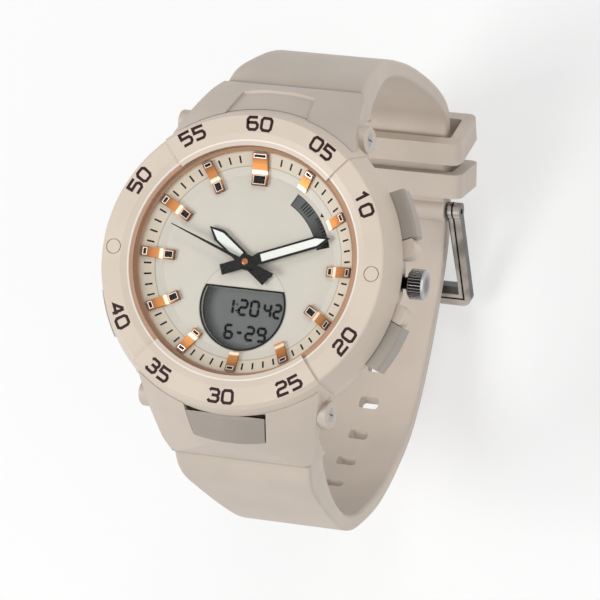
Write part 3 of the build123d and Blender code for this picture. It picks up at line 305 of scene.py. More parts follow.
def pour(made, sheet):
    """Puts the bmesh into the piece."""
    bmesh.ops.recalc_face_normals(sheet, faces=sheet.faces)
    sheet.to_mesh(made.data)
    sheet.free()


def turned(radius, angle):
    """Point at a radius and an angle in degrees from 3 o'clock."""
    return radius * cos(radians(angle)), radius * sin(radians(angle))


def spoke(radius_in, radius_out, angle, width):
    """Corners of a bar along a radius."""
    out_x, out_y = turned(1, angle)
    side_x, side_y = -out_y * width / 2, out_x * width / 2
    return [
        (out_x * radius_in - side_x, out_y * radius_in - side_y),
        (out_x * radius_out - side_x, out_y * radius_out - side_y),
        (out_x * radius_out + side_x, out_y * radius_out + side_y),
        (out_x * radius_in + side_x, out_y * radius_in + side_y),
    ]


def dress(finish, *nodes):
    """Gives CAD nodes their finish."""
    for name in nodes:
        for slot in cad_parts[name].material_slots:
            slot.material = finish.material


# Outlines ----------------------------------------------------------------------------

# Strokes of the plain square numerals, in a box one wide and one high
STROKES = {
    "0": [([(0, .18), (.18, 0), (.82, 0), (1, .18), (1, .82), (.82, 1), (.18, 1), (0, .82)], True)],
    "1": [([(.15, .78), (.55, 1), (.55, 0)], False)],
    "2": [([(0, .84), (.18, 1), (.82, 1), (1, .84), (1, .66), (.84, .52), (.18, .48), (0, .32),
            (0, 0), (1, 0)], False)],
    "3": [([(0, .86), (.16, 1), (.82, 1), (1, .84), (1, .66), (.84, .52), (1, .36), (1, .16),
            (.82, 0), (.16, 0), (0, .14)], False), ([(.3, .52), (.84, .52)], False)],
    "4": [([(1, .3), (0, .3), (.68, 1)], False), ([(.78, 1), (.78, 0)], False)],
    "5": [([(1, 1), (0, 1), (0, .57), (.82, .57), (1, .4), (1, .16), (.82, 0), (0, 0)], False)],
    "6": [([(.95, 1), (.18, 1), (0, .82), (0, .18), (.18, 0), (.82, 0), (1, .18), (1, .4),
            (.82, .57), (0, .57)], False)],
}
# Bars of a seven bar figure: the ends of each, in a box one wide and two high
BARS = {
    "top": ((0, 2), (1, 2)), "upper_left": ((0, 1), (0, 2)), "upper_right": ((1, 1), (1, 2)),
    "middle": ((0, 1), (1, 1)), "lower_left": ((0, 0), (0, 1)), "lower_right": ((1, 0), (1, 1)),
    "foot": ((0, 0), (1, 0)),
}
FIGURES = {
    "0": ("top", "upper_left", "upper_right", "lower_left", "lower_right", "foot"),
    "1": ("upper_right", "lower_right"),
    "2": ("top", "upper_right", "middle", "lower_left", "foot"),
    "4": ("upper_left", "upper_right", "middle", "lower_right"),
    "6": ("top", "upper_left", "middle", "lower_left", "lower_right", "foot"),
    "9": ("top", "upper_left", "upper_right", "middle", "lower_right", "foot"),
    "-": ("middle",),
}


def stroke_sides(points, width, closed):
    """The two sides of a stroke, mitred at its corners."""
    sharpest = 0.45  # least cosine of half a corner's turn, so that no mitre grows too long
    left, right = [], []
    count = len(points)
    for i, point in enumerate(points):
        here = Vector(point)
        before = Vector(points[i - 1]) if closed or i else None
        after = Vector(points[(i + 1) % count]) if closed or i < count - 1 else None
        ways = [way.normalized() for way in (
            here - before if before is not None else None,
            after - here if after is not None else None,
        ) if way is not None]
        way = sum(ways, Vector((0, 0))).normalized()
        side = Vector((-way.y, way.x))
        reach = width / 2 / max(sharpest, side.dot(Vector((-ways[0].y, ways[0].x))))
        left.append(here + side * reach)
        right.append(here - side * reach)
    return left, right


def stroke(sheet, points, width, closed, place):
    """Lays a raised ribbon along a stroke, each point set down by place(u, v, up)."""
    step_mm = 0.35
    left, right = stroke_sides(points, width, closed)
    count = len(points)
    rows = []
    for i in range(count if closed else count - 1):
        j = (i + 1) % count
        cuts = max(1, ceil((Vector(points[j]) - Vector(points[i])).length / step_mm))
        rows += [(left[i].lerp(left[j], k / cuts), right[i].lerp(right[j], k / cuts))
                 for k in range(cuts)]
    if not closed:
        rows.append((left[-1], right[-1]))
    rings = [[sheet.verts.new(place(p.x, p.y, up)) for p, up in
              ((a, False), (a, True), (b, True), (b, False))] for a, b in rows]
    for i in range(len(rings) if closed else len(rings) - 1):
        one, two = rings[i], rings[(i + 1) % len(rings)]
        for k in range(4):
            m = (k + 1) % 4
            sheet.faces.new((one[k], one[m], two[m], two[k]))
    if not closed:
        sheet.faces.new(rings[0][::-1])
        sheet.faces.new(rings[-1])


# Sizes and colours -------------------------------------------------------------------

def length(name, description, default):
    """A length in millimetres."""
    return bpy.props.FloatProperty(name=name, description=description, default=default, min=0)


def slope(name, description, default):
    """An angle, given in degrees."""
    return bpy.props.FloatProperty(
        name=name, description=description, default=radians(default), subtype="ANGLE",
    )


def shade_of(name, description, default):
    """A colour as seen on screen."""
    return bpy.props.FloatVectorProperty(
        name=name, description=description, default=default, size=3, subtype="COLOR_GAMMA",
        min=0, max=1,
    )


class WatchSizes(bpy.types.PropertyGroup):
    """Sizes of what is printed, inlaid, painted and shown, lengths in millimetres."""
    print_lift: length("Print lift", "How far a print stands off its surface", 0.02)
    tick_inner: length("Tick inner", "Inner radius of the minute ticks", 14.72)
    tick_outer: length("Tick outer", "Outer radius of the minute ticks", 15.72)
    tick_width: length("Tick width", "Width of a minute tick", 0.26)
    # The fine line there is painted shade
    tick_band: length("Tick band", "Radius of the fine line inside the ticks", 14.2)
    ring_foot: length("Ring foot", "Radius where the chapter ring leaves the dial", 13.0)
    ring_head: length("Ring head", "Radius of the ring's upper edge", 16.35)
    ring_low: length("Ring low", "Height of the dial face", 7.0)
    ring_high: length("Ring high", "Height of the ring's upper edge", 8.55)
    numeral_height: length("Numeral height", "Height of the bezel numerals", 1.8)
    numeral_width: length("Numeral width", "Width of a bezel numeral", 1.5)
    numeral_stroke: length("Numeral stroke", "Width of a numeral's stroke", 0.44)
    numeral_radius: length("Numeral radius", "Radius of the middle of the numerals", 19.95)
    bezel_top: length("Bezel top", "Height of the bezel's flat band", 10.6)
    sector_rise: length("Sector rise", "How far the sectors at 12 and 6 stand up", 0.35)
    marker_width: length("Marker width", "Width of an hour marker", 1.45)
    marker_twelve: length("Marker twelve", "Width of the marker at 12", 2.3)
    marker_thick: length("Marker thickness", "Thickness of an hour marker", 0.59)
    crown_radius: length("Crown radius", "Radius over the crown's flutes", 2.25)
    crown_height: length("Crown height", "Height of the crown's axis", 3.3)
    crown_end: length("Crown end", "Distance of the crown's end face from the middle", 26.0)
    # The amber band is a band of painted shade
    band_radius: length("Band radius", "Radius of the amber band under the crystal's seal", 16.32)
    band_foot: length("Band foot", "Lower edge of the amber band", 8.52)
    band_head: length("Band head", "Upper edge of the amber band", 9.0)
    frame_half_width: length("Frame half width", "Half the buckle frame's width at its hinge", 10.9)
    frame_flare: length("Frame flare", "How far each arm of the frame leans out", 1.4)
    frame_reach: length("Frame reach", "From the hinge to the frame's far edge", 16.77)
    frame_slope: slope("Frame slope", "How far the buckle frame hangs down", 34.32)
    crease_y: length("Crease distance", "From the middle to the edge of a strap's root", 28.0)
    crease_depth: length("Crease depth", "How far below the case back that edge lies", 1.9)
    # The film inside the crystal's edge is painted shade
    film: length("Film", "Thickness of the tint on the crystal's edge", 0.02)
    digit_stroke: length("Digit stroke", "Width of a bar of the display figures", 0.42)


class WatchShades(bpy.types.PropertyGroup):
    """Colours of the finishes, as seen on screen."""
    bezel: shade_of("Bezel", "Resin of the bezel and case", (0.83, 0.775, 0.715))
    strap: shade_of("Strap", "Resin of the straps and keepers", (0.79, 0.74, 0.69))
    button: shade_of("Button", "Resin of the buttons", (0.645, 0.61, 0.57))
    dial: shade_of("Dial", "Face of the dial", (0.845, 0.82, 0.78))
    ring: shade_of("Ring", "Chapter ring", (0.88, 0.825, 0.755))
    numeral: shade_of("Numeral", "Print of the bezel numerals", (0.17, 0.09, 0.10))
    copper: shade_of("Rose gold", "Hour markers", (0.78, 0.52, 0.30))
    display: shade_of("Display", "Ground of the digital display", (0.39, 0.40, 0.40))


class WatchPiece:
    """What the operators share."""
    bl_options = {"REGISTER", "UNDO"}

    @property
    def sizes(self):
        return bpy.context.scene.watch_sizes

    @property
    def shades(self):
        return bpy.context.scene.watch_shades

    def ring_height(self, x, y):
        """Height of the dial or the chapter ring under a point."""
        s = self.sizes
        share = (hypot(x, y) - s.ring_foot) / (s.ring_head - s.ring_foot)
        return s.ring_low + max(0, share) * (s.ring_high - s.ring_low)


class WATCH_OT_resin(WatchPiece, bpy.types.Operator):
    """Satin resin of the case, bezel, straps, keepers and buttons"""
    bl_idname = "watch.resin"
    bl_label = "Resin parts"

    # Radii of the painted highlight along the bezel's inner edge, in mm
    LIP = (17.4, 17.62)
    # How far from the crease its painted shade is full, and where it ends, in mm
    CREASE = (0.1, 0.75)

    def execute(self, context):
        shades = self.shades
        dress(moulded("bezel_resin", shades.bezel, toned(shades.bezel, 0.965),
                      paint=self.painted_lip_highlight), "bezel", "case_body")
        dress(moulded("strap_resin", shades.strap, toned(shades.strap, 0.96), roughness=0.5,
                      grain_mm=0.22, paint=self.painted_crease_shade),
              "strap_upper", "strap_lower", "keeper_one", "keeper_two")
        dress(moulded("button_resin", shades.button, toned(shades.button, 0.93), roughness=0.42),
              "button_start", "button_reset", "button_light", "button_mode", "button_front")
        return {"FINISHED"}

    def painted_crease_shade(self, finish, base):
        """Painted shade: a darker line where each strap leaves its root."""
        _, y, z = finish.across()
        out = abs(y) - self.sizes.crease_y
        up = z + self.sizes.crease_depth
        near = 1 - ((out * out + up * up) ** 0.5).ramp(*self.CREASE)
        return finish.mix(near * 0.8, base, linear((0.40, 0.36, 0.33)))

    def painted_lip_highlight(self, finish, base):
        """A painted highlight: a paler line along the bezel's inner edge."""
        line = finish.reach().band(*self.LIP, 0.05)
        return finish.mix(line * 0.7, base, linear((0.95, 0.92, 0.89)))


class WATCH_OT_steel(WatchPiece, bpy.types.Operator):
    """Polished and brushed steel of the buckle, crown, pins and case back"""
    bl_idname = "watch.steel"
    bl_label = "Steel parts"

    # Widths in mm, counted in from the frame's outline: the painted dark reflection line, and the
    # start of the painted grey shade towards the hollow inside it
    LINE = (1.05, 1.35)
    HOLLOW = (1.85, 2.05)
    # Depths in mm below the crown's flutes, where painted shade fills the grooves, and behind its
    # end face, and the radii between which a painted highlight pales that face
    GROOVE = (0.2, 0.04)
    FACE = (0.25, 0.1)
    PALE = (0.6, 2.0)

    def execute(self, context):
        dress(metal("polished_steel", (0.66, 0.65, 0.64), roughness=0.22, grain_mm=0.35,
                    stretch=(0.15, 1, 1), grain=0.06, smear=0.1),
              "buckle_tongue", "spring_bar", "strap_pin_upper", "strap_pin_lower",
              "case_back_screws", "crown_stem", "cell", "quartz_can", "clip_start", "clip_reset",
              "clip_light", "clip_mode", "clip_front")
        dress(metal("copper_arbor", (0.72, 0.47, 0.30), roughness=0.2, grain_mm=0.3),
              "seconds_arbor")
        dress(metal("buckle_steel", (0.97, 0.97, 0.97), roughness=0.14, grain_mm=0.35,
                    stretch=(1, 0.1, 0.1), grain=0.03, painted_light=self.painted_frame_reflections),
              "buckle_frame")
        dress(metal("crown_steel", (0.66, 0.65, 0.64), roughness=0.22, grain_mm=0.3,
                    stretch=(0.2, 1, 1), grain=0.06, painted_light=self.painted_flute_light), "crown")
        dress(self.turned_back(), "case_back", "cell_clamp")
        return {"FINISHED"}

    def painted_frame_reflections(self, finish, shine):
        """Painted reflections: dark flanks, dark lines and pale patches along the frame, as
        polished steel shows in a bright room.
        """
        sizes = self.sizes
        sideways, _, _ = finish.split(finish.node("ShaderNodeTexCoord", output="Normal"))
        flank = (sideways * sideways).ramp(0.25, 0.85)
        x, y, z = finish.across()
        low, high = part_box("spring_bar")
        hinge_y, hinge_z = ((low[i] + high[i]) / 2 / MM for i in (1, 2))
        along = ((y - hinge_y) * -cos(sizes.frame_slope)
                 + (z - hinge_z) * -sin(sizes.frame_slope))
        arm = sizes.frame_half_width + along * (sizes.frame_flare / sizes.frame_reach)
        edge = (arm - abs(x)).least(sizes.frame_reach - along)
        slow = finish.noise(4.0, detail=1.0, roughness=0.4).ramp(0.38, 0.62)
        # Colours of the painted reflections: black lines and flanks, grey inner shade, pale patches
        black, grey, pale = (linear((c, c, c)) for c in (0.10, 0.16, 0.74))
        top = finish.mix(slow, pale, shine)
        top = finish.mix(edge.band(*self.LINE, 0.08), top, black)
        top = finish.mix(edge.ramp(*self.HOLLOW) * 0.85, top, grey)
        return finish.mix(flank * 0.9, top, black)

    def painted_flute_light(self, finish, shine):
        """Painted shade in the grooves between the flutes, and a painted highlight that pales the
        end face towards its rim.
        """
        sizes = self.sizes
        x, y, z = finish.across()
        low = z - sizes.crown_height
        reach = (y * y + low * low) ** 0.5
        groove = 1 - reach.ramp(*(sizes.crown_radius - depth for depth in self.GROOVE))
        face = x.ramp(*(sizes.crown_end - depth for depth in self.FACE))
        sides = finish.mix(groove, shine, linear((0.06, 0.058, 0.056)))
        end = finish.mix(reach.ramp(*self.PALE), linear((0.40, 0.39, 0.38)),
                         linear((0.70, 0.69, 0.68)))
        return finish.mix(face, sides, end)

    def turned_back(self):
        """Steel with fine rings turned round the middle of the back."""
        finish = Finish("turned_steel", Metallic=1.0)
        rings = finish.node("ShaderNodeTexNoise", {"noise_dimensions": "1D"},
                            {"W": finish.reach(), "Scale": 9.0, "Detail": 3.0})
        tones = finish.mix(rings, linear((0.62, 0.62, 0.63)), linear((0.74, 0.74, 0.75)))
        finish.feed(Base_Color=tones, Roughness=0.22 + rings * 0.14)
        return finish.bump(rings, 0.12, 0.02)


class WATCH_OT_crystal(WatchPiece, bpy.types.Operator):
    """Clear crystal, its seal, and the amber band and film of painted shade at its edge"""
    bl_idname = "watch.crystal"
    bl_label = "Crystal"

    # Steps round the band
    STEPS_ROUND = 144
    # How far below the crystal's top the painted shade film ends, in mm
    BEVEL = 0.25
    # Radii between which the band's painted shade darkens from its pale foot, in mm
    FADE = (16.2, 16.36)

    def execute(self, context):
        glass = Finish("clear_crystal", Base_Color=(1, 1, 1, 1), Roughness=0.02, Metallic=1.0)
        clear = glass.node("ShaderNodeBsdfTransparent", inputs={"Color": (0.985, 0.99, 0.985, 1)})
        facing = glass.node("ShaderNodeLayerWeight", inputs={"Blend": 0.2}, output="Facing")
        glass.surface(0.003 + facing * 0.2, clear, glass.principled())
        dress(glass, "crystal")
        # The amber of the seal and band is painted shade and reflection of the shaded wall under
        # the bezel
        amber = moulded("painted_shade_seal", (0.70, 0.55, 0.44), (0.67, 0.52, 0.42), roughness=0.4,
                        paint=self.fade)
        dress(amber, "crystal_gasket")
        self.painted_shade_band(amber)
        return {"FINISHED"}

    def painted_shade_band(self, amber):
        """A sloping band of painted brown shade above the chapter ring, and a film of the same
        painted shade on the crystal's edge and rim.
        """
        made = piece("painted_shade_band", "case", amber)
        sizes = self.sizes
        inner, foot, head, film = sizes.band_radius, sizes.band_foot, sizes.band_head, sizes.film
        low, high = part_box("crystal")
        base = low[2] / MM + film
        rim = high[0] / MM - film
        brim = high[2] / MM - self.BEVEL
        band = ((inner - 0.12, foot), (inner + 0.02, head), (inner + 0.10, head),
                (inner - 0.02, foot))
        painted_film = ((inner, base), (rim, base), (rim, brim), (rim - film, brim),
                (rim - film, base + film), (inner, base + film))
        sheet = bmesh.new()
        for section in (band, painted_film):
            rings = []
            for i in range(self.STEPS_ROUND):
                angle = i * 360 / self.STEPS_ROUND
                rings.append([sheet.verts.new((*(MM * c for c in turned(radius, angle)), z * MM))
                              for radius, z in section])
            for i, ring in enumerate(rings):
                after = rings[(i + 1) % len(rings)]
                for k in range(len(section)):
                    m = (k + 1) % len(section)
                    face = sheet.faces.new((ring[k], after[k], after[m], ring[m]))
                    face.smooth = True
        pour(made, sheet)
        made.data.set_sharp_from_angle(angle=radians(40))

    def fade(self, finish, base):
        """Painted shade, paler at the foot of the band."""
        return finish.mix(finish.reach().ramp(*self.FADE), linear((0.82, 0.73, 0.64)), base)


class WATCH_OT_dial(WatchPiece, bpy.types.Operator):
    """Satin dial with its engraved circle, chapter ring and minute ticks"""
    bl_idname = "watch.dial"
    bl_label = "Dial and ring"

    # Radii between which painted brown shade darkens the ring's upper edge, in mm
    BROWN = (15.9, 16.5)
    # The painted shade line's edges from the tick band's foot, and how softly it ends, in mm
    LINE = (-0.05, 0.08)
    SOFT = 0.06
    # The engraved circle: where its middle lies on the 12 to 6 line, its edges, and the start of
    # the paler face inside it, in mm
    CIRCLE_Y = -6.3
    CIRCLE = (6.57, 6.71)
    INSIDE = (6.55, 6.65)

    def execute(self, context):
        sizes, shades = self.sizes, self.shades
        dress(self.dial_face(), "dial")
        dress(moulded("ring_resin", shades.ring, toned(shades.ring, 0.97), roughness=0.4,
                      grain_mm=0.1, grain=0.06, paint=self.ring_tones_and_painted_shade), "chapter_ring")
        ink = moulded("black_print", (0.03, 0.027, 0.025), (0.06, 0.055, 0.05), roughness=0.5,
                      grain_mm=0.08, grain=0.05, specular=0.1)
        ticks = piece("minute_ticks", "case", ink)
        sheet = bmesh.new()
        for minute in range(60):
            if minute % 5 and minute not in (1, 59):
                prism(sheet, spoke(sizes.tick_inner, sizes.tick_outer, 90 - 6 * minute,
                                   sizes.tick_width), sizes.print_lift, self.ring_height)
        pour(ticks, sheet)
        return {"FINISHED"}

    def ring_tones_and_painted_shade(self, finish, base):
        """The dial's grey inside the tick band, a fine line of painted shade at its foot, painted
        brown shade at its top.
        """
        reach = finish.reach()
        foot = self.sizes.tick_band
        line = reach.band(*(foot + edge for edge in self.LINE), self.SOFT)
        tones = finish.mix(reach.ramp(foot - self.SOFT, foot), linear(self.shades.dial), base)
        tones = finish.mix(line * 0.5, tones, linear((0.45, 0.40, 0.36)))
        return finish.mix(reach.ramp(*self.BROWN) * 0.45, tones, linear((0.62, 0.46, 0.36)))

    def dial_face(self):
        """Pale satin face with fine grain and a faint circle round the digital display."""
        finish = Finish("dial_satin", Specular_IOR_Level=0.4)
        reach = finish.reach(self.CIRCLE_Y)
        circle = reach.band(*self.CIRCLE, 0.05)
        inside = 1 - reach.ramp(*self.INSIDE)
        shade = self.shades.dial
        face = finish.mix(finish.noise(7.0, detail=2.0), linear(shade), linear(shade, 0.96))
        face = finish.mix(inside * 0.25, face, linear(shade, 1.05))
        finish.feed(Base_Color=finish.mix(circle * 0.35, face, linear(shade, 0.6)),
                    Roughness=0.34 + finish.noise(1.5, detail=3.0) * 0.1)
        return finish.bump(finish.noise(0.12, detail=2.0) * 0.3 - circle, 0.25, 0.03)


class WATCH_OT_markers(WatchPiece, bpy.types.Operator):
    """Rose gold hour markers with dark plates on their ends, the outer ones a painted dark
    reflection, rimmed with painted bright glints
    """
    bl_idname = "watch.markers"
    bl_label = "Hour markers"

    # Inner radii of the markers by hour, and of the others, in mm
    INNER = {1: 13.1, 2: 13.1, 3: 12.1, 5: 12.8, 6: 13.1, 7: 12.2}
    INNER_REST = 11.4
    # Inner and outer radius of the dark plate at each marker's outer end, a painted dark
    # reflection, in mm
    OUTER_SPAN = (15.35, 15.74)
    # Gold left at the marker's sides, its inner end and its bend, in mm
    SIDE, END, BEND = 0.28, 0.28, 0.16
    # A marker that runs less than this onto the dial has no dark plate there, in mm
    SHORT = 0.8

    def execute(self, context):
        gold = metal("rose_gold", self.shades.copper, roughness=0.42, grain_mm=0.3, grain=0.02,
                     smear=0.04, painted_light=self.painted_glint)
        dress(gold, "hour_markers")
        dark_plate = moulded("dark_plate_finish", (0.12, 0.07, 0.06), (0.08, 0.05, 0.04), roughness=0.3,
                         grain_mm=0.3, grain=0.02, specular=0.12)
        self.inlays("marker_dark_plates", dark_plate, grown=0.0, lift=0.06)
        # Bright plates round the dark plates: painted glints
        rim_glints = metal("painted_rim_glint", (0.97, 0.95, 0.93), roughness=0.3, grain_mm=0.3)
        self.inlays("marker_rim_glints", rim_glints, grown=0.09, lift=0.04)
        return {"FINISHED"}

    def inlays(self, name, finish, grown, lift):
        """Thin plates on the inner and outer ends of the markers, grown all round by some mm."""
        made = piece(name, "case", finish)
        sheet = bmesh.new()
        sizes = self.sizes

        def above(x, y):
            return self.ring_height(x, y) + sizes.marker_thick

        for hour in range(1, 13):
            marker = sizes.marker_twelve if hour == 12 else sizes.marker_width
            width = marker - 2 * self.SIDE + 2 * grown
            inner = self.INNER.get(hour, self.INNER_REST)
            # The plate at the outer end is a painted dark reflection
            spans = [self.OUTER_SPAN]
            if sizes.ring_foot - inner > self.SHORT:
                spans.append((inner + self.END, sizes.ring_foot - self.BEND))
            for low, high in spans:
                prism(sheet, spoke(low - grown, high + grown, 90 - 30 * hour, width), lift, above)
        pour(made, sheet)

    def painted_glint(self, finish, shine):
        """A painted glint at the bend of each marker, and painted darker reflection, browner
        towards both ends.
        """
        reach = finish.reach()
        inner_end, outer_end, glint = (11.6, 13.2), (14.0, 15.7), (13.1, 13.6)
        warm = finish.mix(reach.ramp(*inner_end), linear((0.50, 0.30, 0.15)), shine)
        warm = finish.mix(reach.ramp(*outer_end), warm, linear((0.52, 0.32, 0.18)))
        return finish.mix(reach.band(*glint, 0.16), warm, linear((1.0, 0.93, 0.84)))


class WATCH_OT_hands(WatchPiece, bpy.types.Operator):
    """Black hands with white inlays, their wheels, and the display's black frame"""
    bl_idname = "watch.hands"
    bl_label = "Hands"

    def execute(self, context):
        black = moulded("hand_lacquer", (0.02, 0.018, 0.018), (0.04, 0.036, 0.036),
                        roughness=0.26, grain_mm=0.2, grain=0.03, specular=0.2)
        dress(black, "hour_hand", "minute_hand", "second_hand", "display_frame")
        white = moulded("white_inlay", (0.97, 0.97, 0.955), (0.93, 0.93, 0.915), roughness=0.55,
                        grain_mm=0.08, grain=0.2)
        dress(white, "hour_lume", "minute_lume")
        brass = metal("turned_brass", (0.76, 0.62, 0.36), roughness=0.3)
        dress(brass, "hour_wheel", "minute_wheel")
        return {"FINISHED"}


class WATCH_OT_displays(WatchPiece, bpy.types.Operator):
    """Digital display with its figures, and the segment arc with its bars"""
    bl_idname = "watch.displays"
    bl_label = "Displays"

    # Heights of what is shown on the display and in the arc, in mm, just above their grounds
    GROUND = 6.51
    ARC_GROUND = 6.86
    # Middle of the display's painted light, and how far from it the painted shade sets in and is
    # full, in mm
    LIGHT = (1.0, -6.3)
    CRESCENT = (5.0, 6.7)
    # Figure, left edge, foot, width and half the height, in mm
    ROWS = (
        ("1", -2.55, -7.5, 0.95, 1.05), ("2", -0.62, -7.5, 1.15, 1.05),
        ("0", 1.15, -7.5, 1.15, 1.05), ("4", 3.25, -7.45, 0.95, 0.95),
        ("2", 4.75, -7.45, 0.95, 0.95),
        ("6", -2.3, -11.1, 1.1, 0.95), ("-", -0.55, -11.1, 0.9, 0.95),
        ("2", 0.95, -11.1, 1.15, 0.95), ("9", 2.75, -11.1, 1.15, 0.95),
    )
    # The colon: its x, the heights of its dots, half a dot's length and its width, in mm
    COLON = (-1.02, (-7.0, -6.05), 0.18, 0.36)
    # Share of a bar's width that its point takes, and that stays free at its end
    TIP, GAP = 0.36, 0.03
    # Bars of the arc: angles in degrees, inner and outer radius and width in mm
    LONG_BARS = ((44, 46.2, 48.4, 50.6, 52.8), 10.95, 12.2, 0.17)
    SHORT_BARS = ([18.5 + 2.5 * step for step in range(9)], 11.7, 12.25, 0.2)
    # Direction of the arc at its middle, and the distances from there, in mm, between which its
    # painted highlight sets in and fades
    ARC_WAY = (0.77, -0.64)
    ARC_IN = (-4.5, -0.5)
    ARC_OUT = (0.5, 5.0)
    # Corners of the arc's pointer: radius in mm, angle in degrees
    POINTER = ((12.6, 38.5), (13.15, 40.6), (13.15, 36.4))

    def execute(self, context):
        dress(self.ground(), "lcd_panel")
        dress(self.arc_ground(), "arc_panel")
        self.figures()
        self.arc_bars()
        return {"FINISHED"}

    def ground(self):
        """Grey green ground with painted shade towards its left and upper edges."""
        finish = Finish("display_ground", Specular_IOR_Level=0.5)
        x, y, _ = finish.across()
        aside, low = x - self.LIGHT[0], y - self.LIGHT[1]
        crescent = ((aside * aside + low * low) ** 0.5).ramp(*self.CRESCENT)
        light = (1 - crescent) * (0.9 + finish.noise(4.0, detail=2.0) * 0.2)
        shade = self.shades.display
        finish.feed(Base_Color=finish.mix(light, linear(shade, 0.3), linear(shade)),
                    Roughness=0.22 + finish.noise(0.8, detail=2.0) * 0.08)
        return finish.bump(finish.noise(0.2, detail=1.0), 0.03, 0.02)

    def arc_ground(self):
        """Dark glass with a painted highlight across the middle of the arc."""
        finish = Finish("arc_ground")
        x, y, _ = finish.across()
        along = x * self.ARC_WAY[0] + y * self.ARC_WAY[1]
        pale = along.ramp(*self.ARC_IN) * (1 - along.ramp(*self.ARC_OUT))
        finish.feed(Base_Color=finish.mix(pale * 0.75, linear((0.035, 0.037, 0.04)),
                                          linear((0.40, 0.41, 0.41))),
                    Roughness=0.2 + finish.noise(0.9, detail=2.0) * 0.1)
        return finish.bump(finish.noise(0.3, detail=1.0), 0.03, 0.02)

    def figures(self):
        """Hour, minutes and seconds above, day and month below, in seven bar figures."""
        ink = moulded("display_figures", (0.02, 0.02, 0.022), (0.04, 0.04, 0.045), roughness=0.3,
                      grain_mm=0.1, grain=0.02, specular=0.05)
        made = piece("display_figures", "case", ink)
        sheet = bmesh.new()
        for figure, left, foot, wide, half in self.ROWS:
            for bar in FIGURES[figure]:
                start, end = ((left + x * wide, foot + y * half) for x, y in BARS[bar])
                self.bar(sheet, start, end, self.sizes.digit_stroke)
        x, heights, reach, width = self.COLON
        for y in heights:
            self.bar(sheet, (x, y - reach), (x, y + reach), width)
        pour(made, sheet)

    def bar(self, sheet, start, end, width):
        """A bar with pointed ends, set just above the display's ground."""
        a, b = Vector(start), Vector(end)
        way = (b - a).normalized()
        side = Vector((-way.y, way.x)) * width / 2
        tip, gap = width * self.TIP, width * self.GAP
        a, b = a + way * gap, b - way * gap
        prism(sheet, [tuple(p) for p in (a, a + way * tip - side, b - way * tip - side, b,
                                         b - way * tip + side, a + way * tip + side)],
              self.sizes.print_lift / 2, lambda x, y: self.GROUND)

    def arc_bars(self):
        """Fine bars inside the arc and a small pointer beside it."""
        ink = moulded("arc_ink", (0.015, 0.015, 0.017), (0.03, 0.03, 0.033), roughness=0.3,
                      grain_mm=0.1, grain=0.02, specular=0.05)
        made = piece("arc_bars", "case", ink)
        sheet = bmesh.new()
        lift = self.sizes.print_lift / 2
        for angles, low, high, width in (self.LONG_BARS, self.SHORT_BARS):
            for angle in angles:
                prism(sheet, spoke(low, high, angle, width), lift, lambda x, y: self.ARC_GROUND)
        pour(made, sheet)
        pointer = piece("arc_pointer", "case", ink)
        sheet = bmesh.new()
        prism(sheet, [turned(*corner) for corner in self.POINTER], lift,
              lambda x, y: self.sizes.ring_low + lift)
        pour(pointer, sheet)


class WATCH_OT_numerals(WatchPiece, bpy.types.Operator):
    """Plain numerals round the bezel"""
    bl_idname = "watch.numerals"
    bl_label = "Bezel numerals"

    MINUTES = (5, 10, 20, 25, 30, 35, 40, 50, 55, 60)
    # Room between the two figures of a number, in mm
    GAP = 0.62
    # Sine of the angle, up from 3 and 9 o'clock, from which a number stands on a raised sector
    RAISED = 0.7

    def execute(self, context):
        ink = moulded("numeral_print", self.shades.numeral, (0.22, 0.13, 0.13), roughness=0.42,
                      grain_mm=0.1, grain=0.06, specular=0.15)
        made = piece("bezel_numerals", "case", ink)
        sheet = bmesh.new()
        for minute in self.MINUTES:
            self.number(sheet, f"{minute:02d}", 90 - 6 * minute)
        pour(made, sheet)
        return {"FINISHED"}

    def number(self, sheet, text, angle):
        """Two figures bent round the bezel, upright towards the nearer of 12 and 6."""
        sizes = self.sizes
        upward = sin(radians(angle))
        flip = -1 if upward < 0 else 1
        height = sizes.bezel_top + (sizes.sector_rise if abs(upward) > self.RAISED else 0)
        pitch = sizes.numeral_width + self.GAP

        def place(u, v, up, layer):
            radius = sizes.numeral_radius + flip * v
            turn = radians(angle) - flip * u / sizes.numeral_radius
            z = height + (sizes.print_lift * (1 + layer / 2) if up else -sizes.print_lift)
            return radius * cos(turn) * MM, radius * sin(turn) * MM, z * MM

        for i, figure in enumerate(text):
            left = (i - len(text) / 2) * pitch + (pitch - sizes.numeral_width) / 2
            for layer, (points, closed) in enumerate(STROKES[figure]):
                stroke(sheet, [(left + x * sizes.numeral_width, (y - 0.5) * sizes.numeral_height)
                               for x, y in points], sizes.numeral_stroke, closed,
                       lambda u, v, up: place(u, v, up, layer))


class WATCH_OT_inside(WatchPiece, bpy.types.Operator):
    """Finishes of the movement, board, coil and seals"""
    bl_idname = "watch.inside"
    bl_label = "Inner parts"

    def execute(self, context):
        dress(moulded("ivory_resin", (0.86, 0.85, 0.81), (0.80, 0.79, 0.75), roughness=0.5),
              "movement_holder", "dial_spacer")
        dress(moulded("coated_board", (0.12, 0.34, 0.18), (0.08, 0.26, 0.13), roughness=0.35),
              "circuit_board")
        dress(moulded("black_rubber", (0.07, 0.07, 0.07), (0.11, 0.11, 0.11), roughness=0.62),
              "case_back_gasket", "button_seals", "crown_seal", "contact_strips")
        dress(metal("wound_copper", (0.78, 0.45, 0.26), roughness=0.35, grain_mm=0.1,
                    stretch=(1, 0.05, 1), grain=0.3), "stepper_coil")
        return {"FINISHED"}


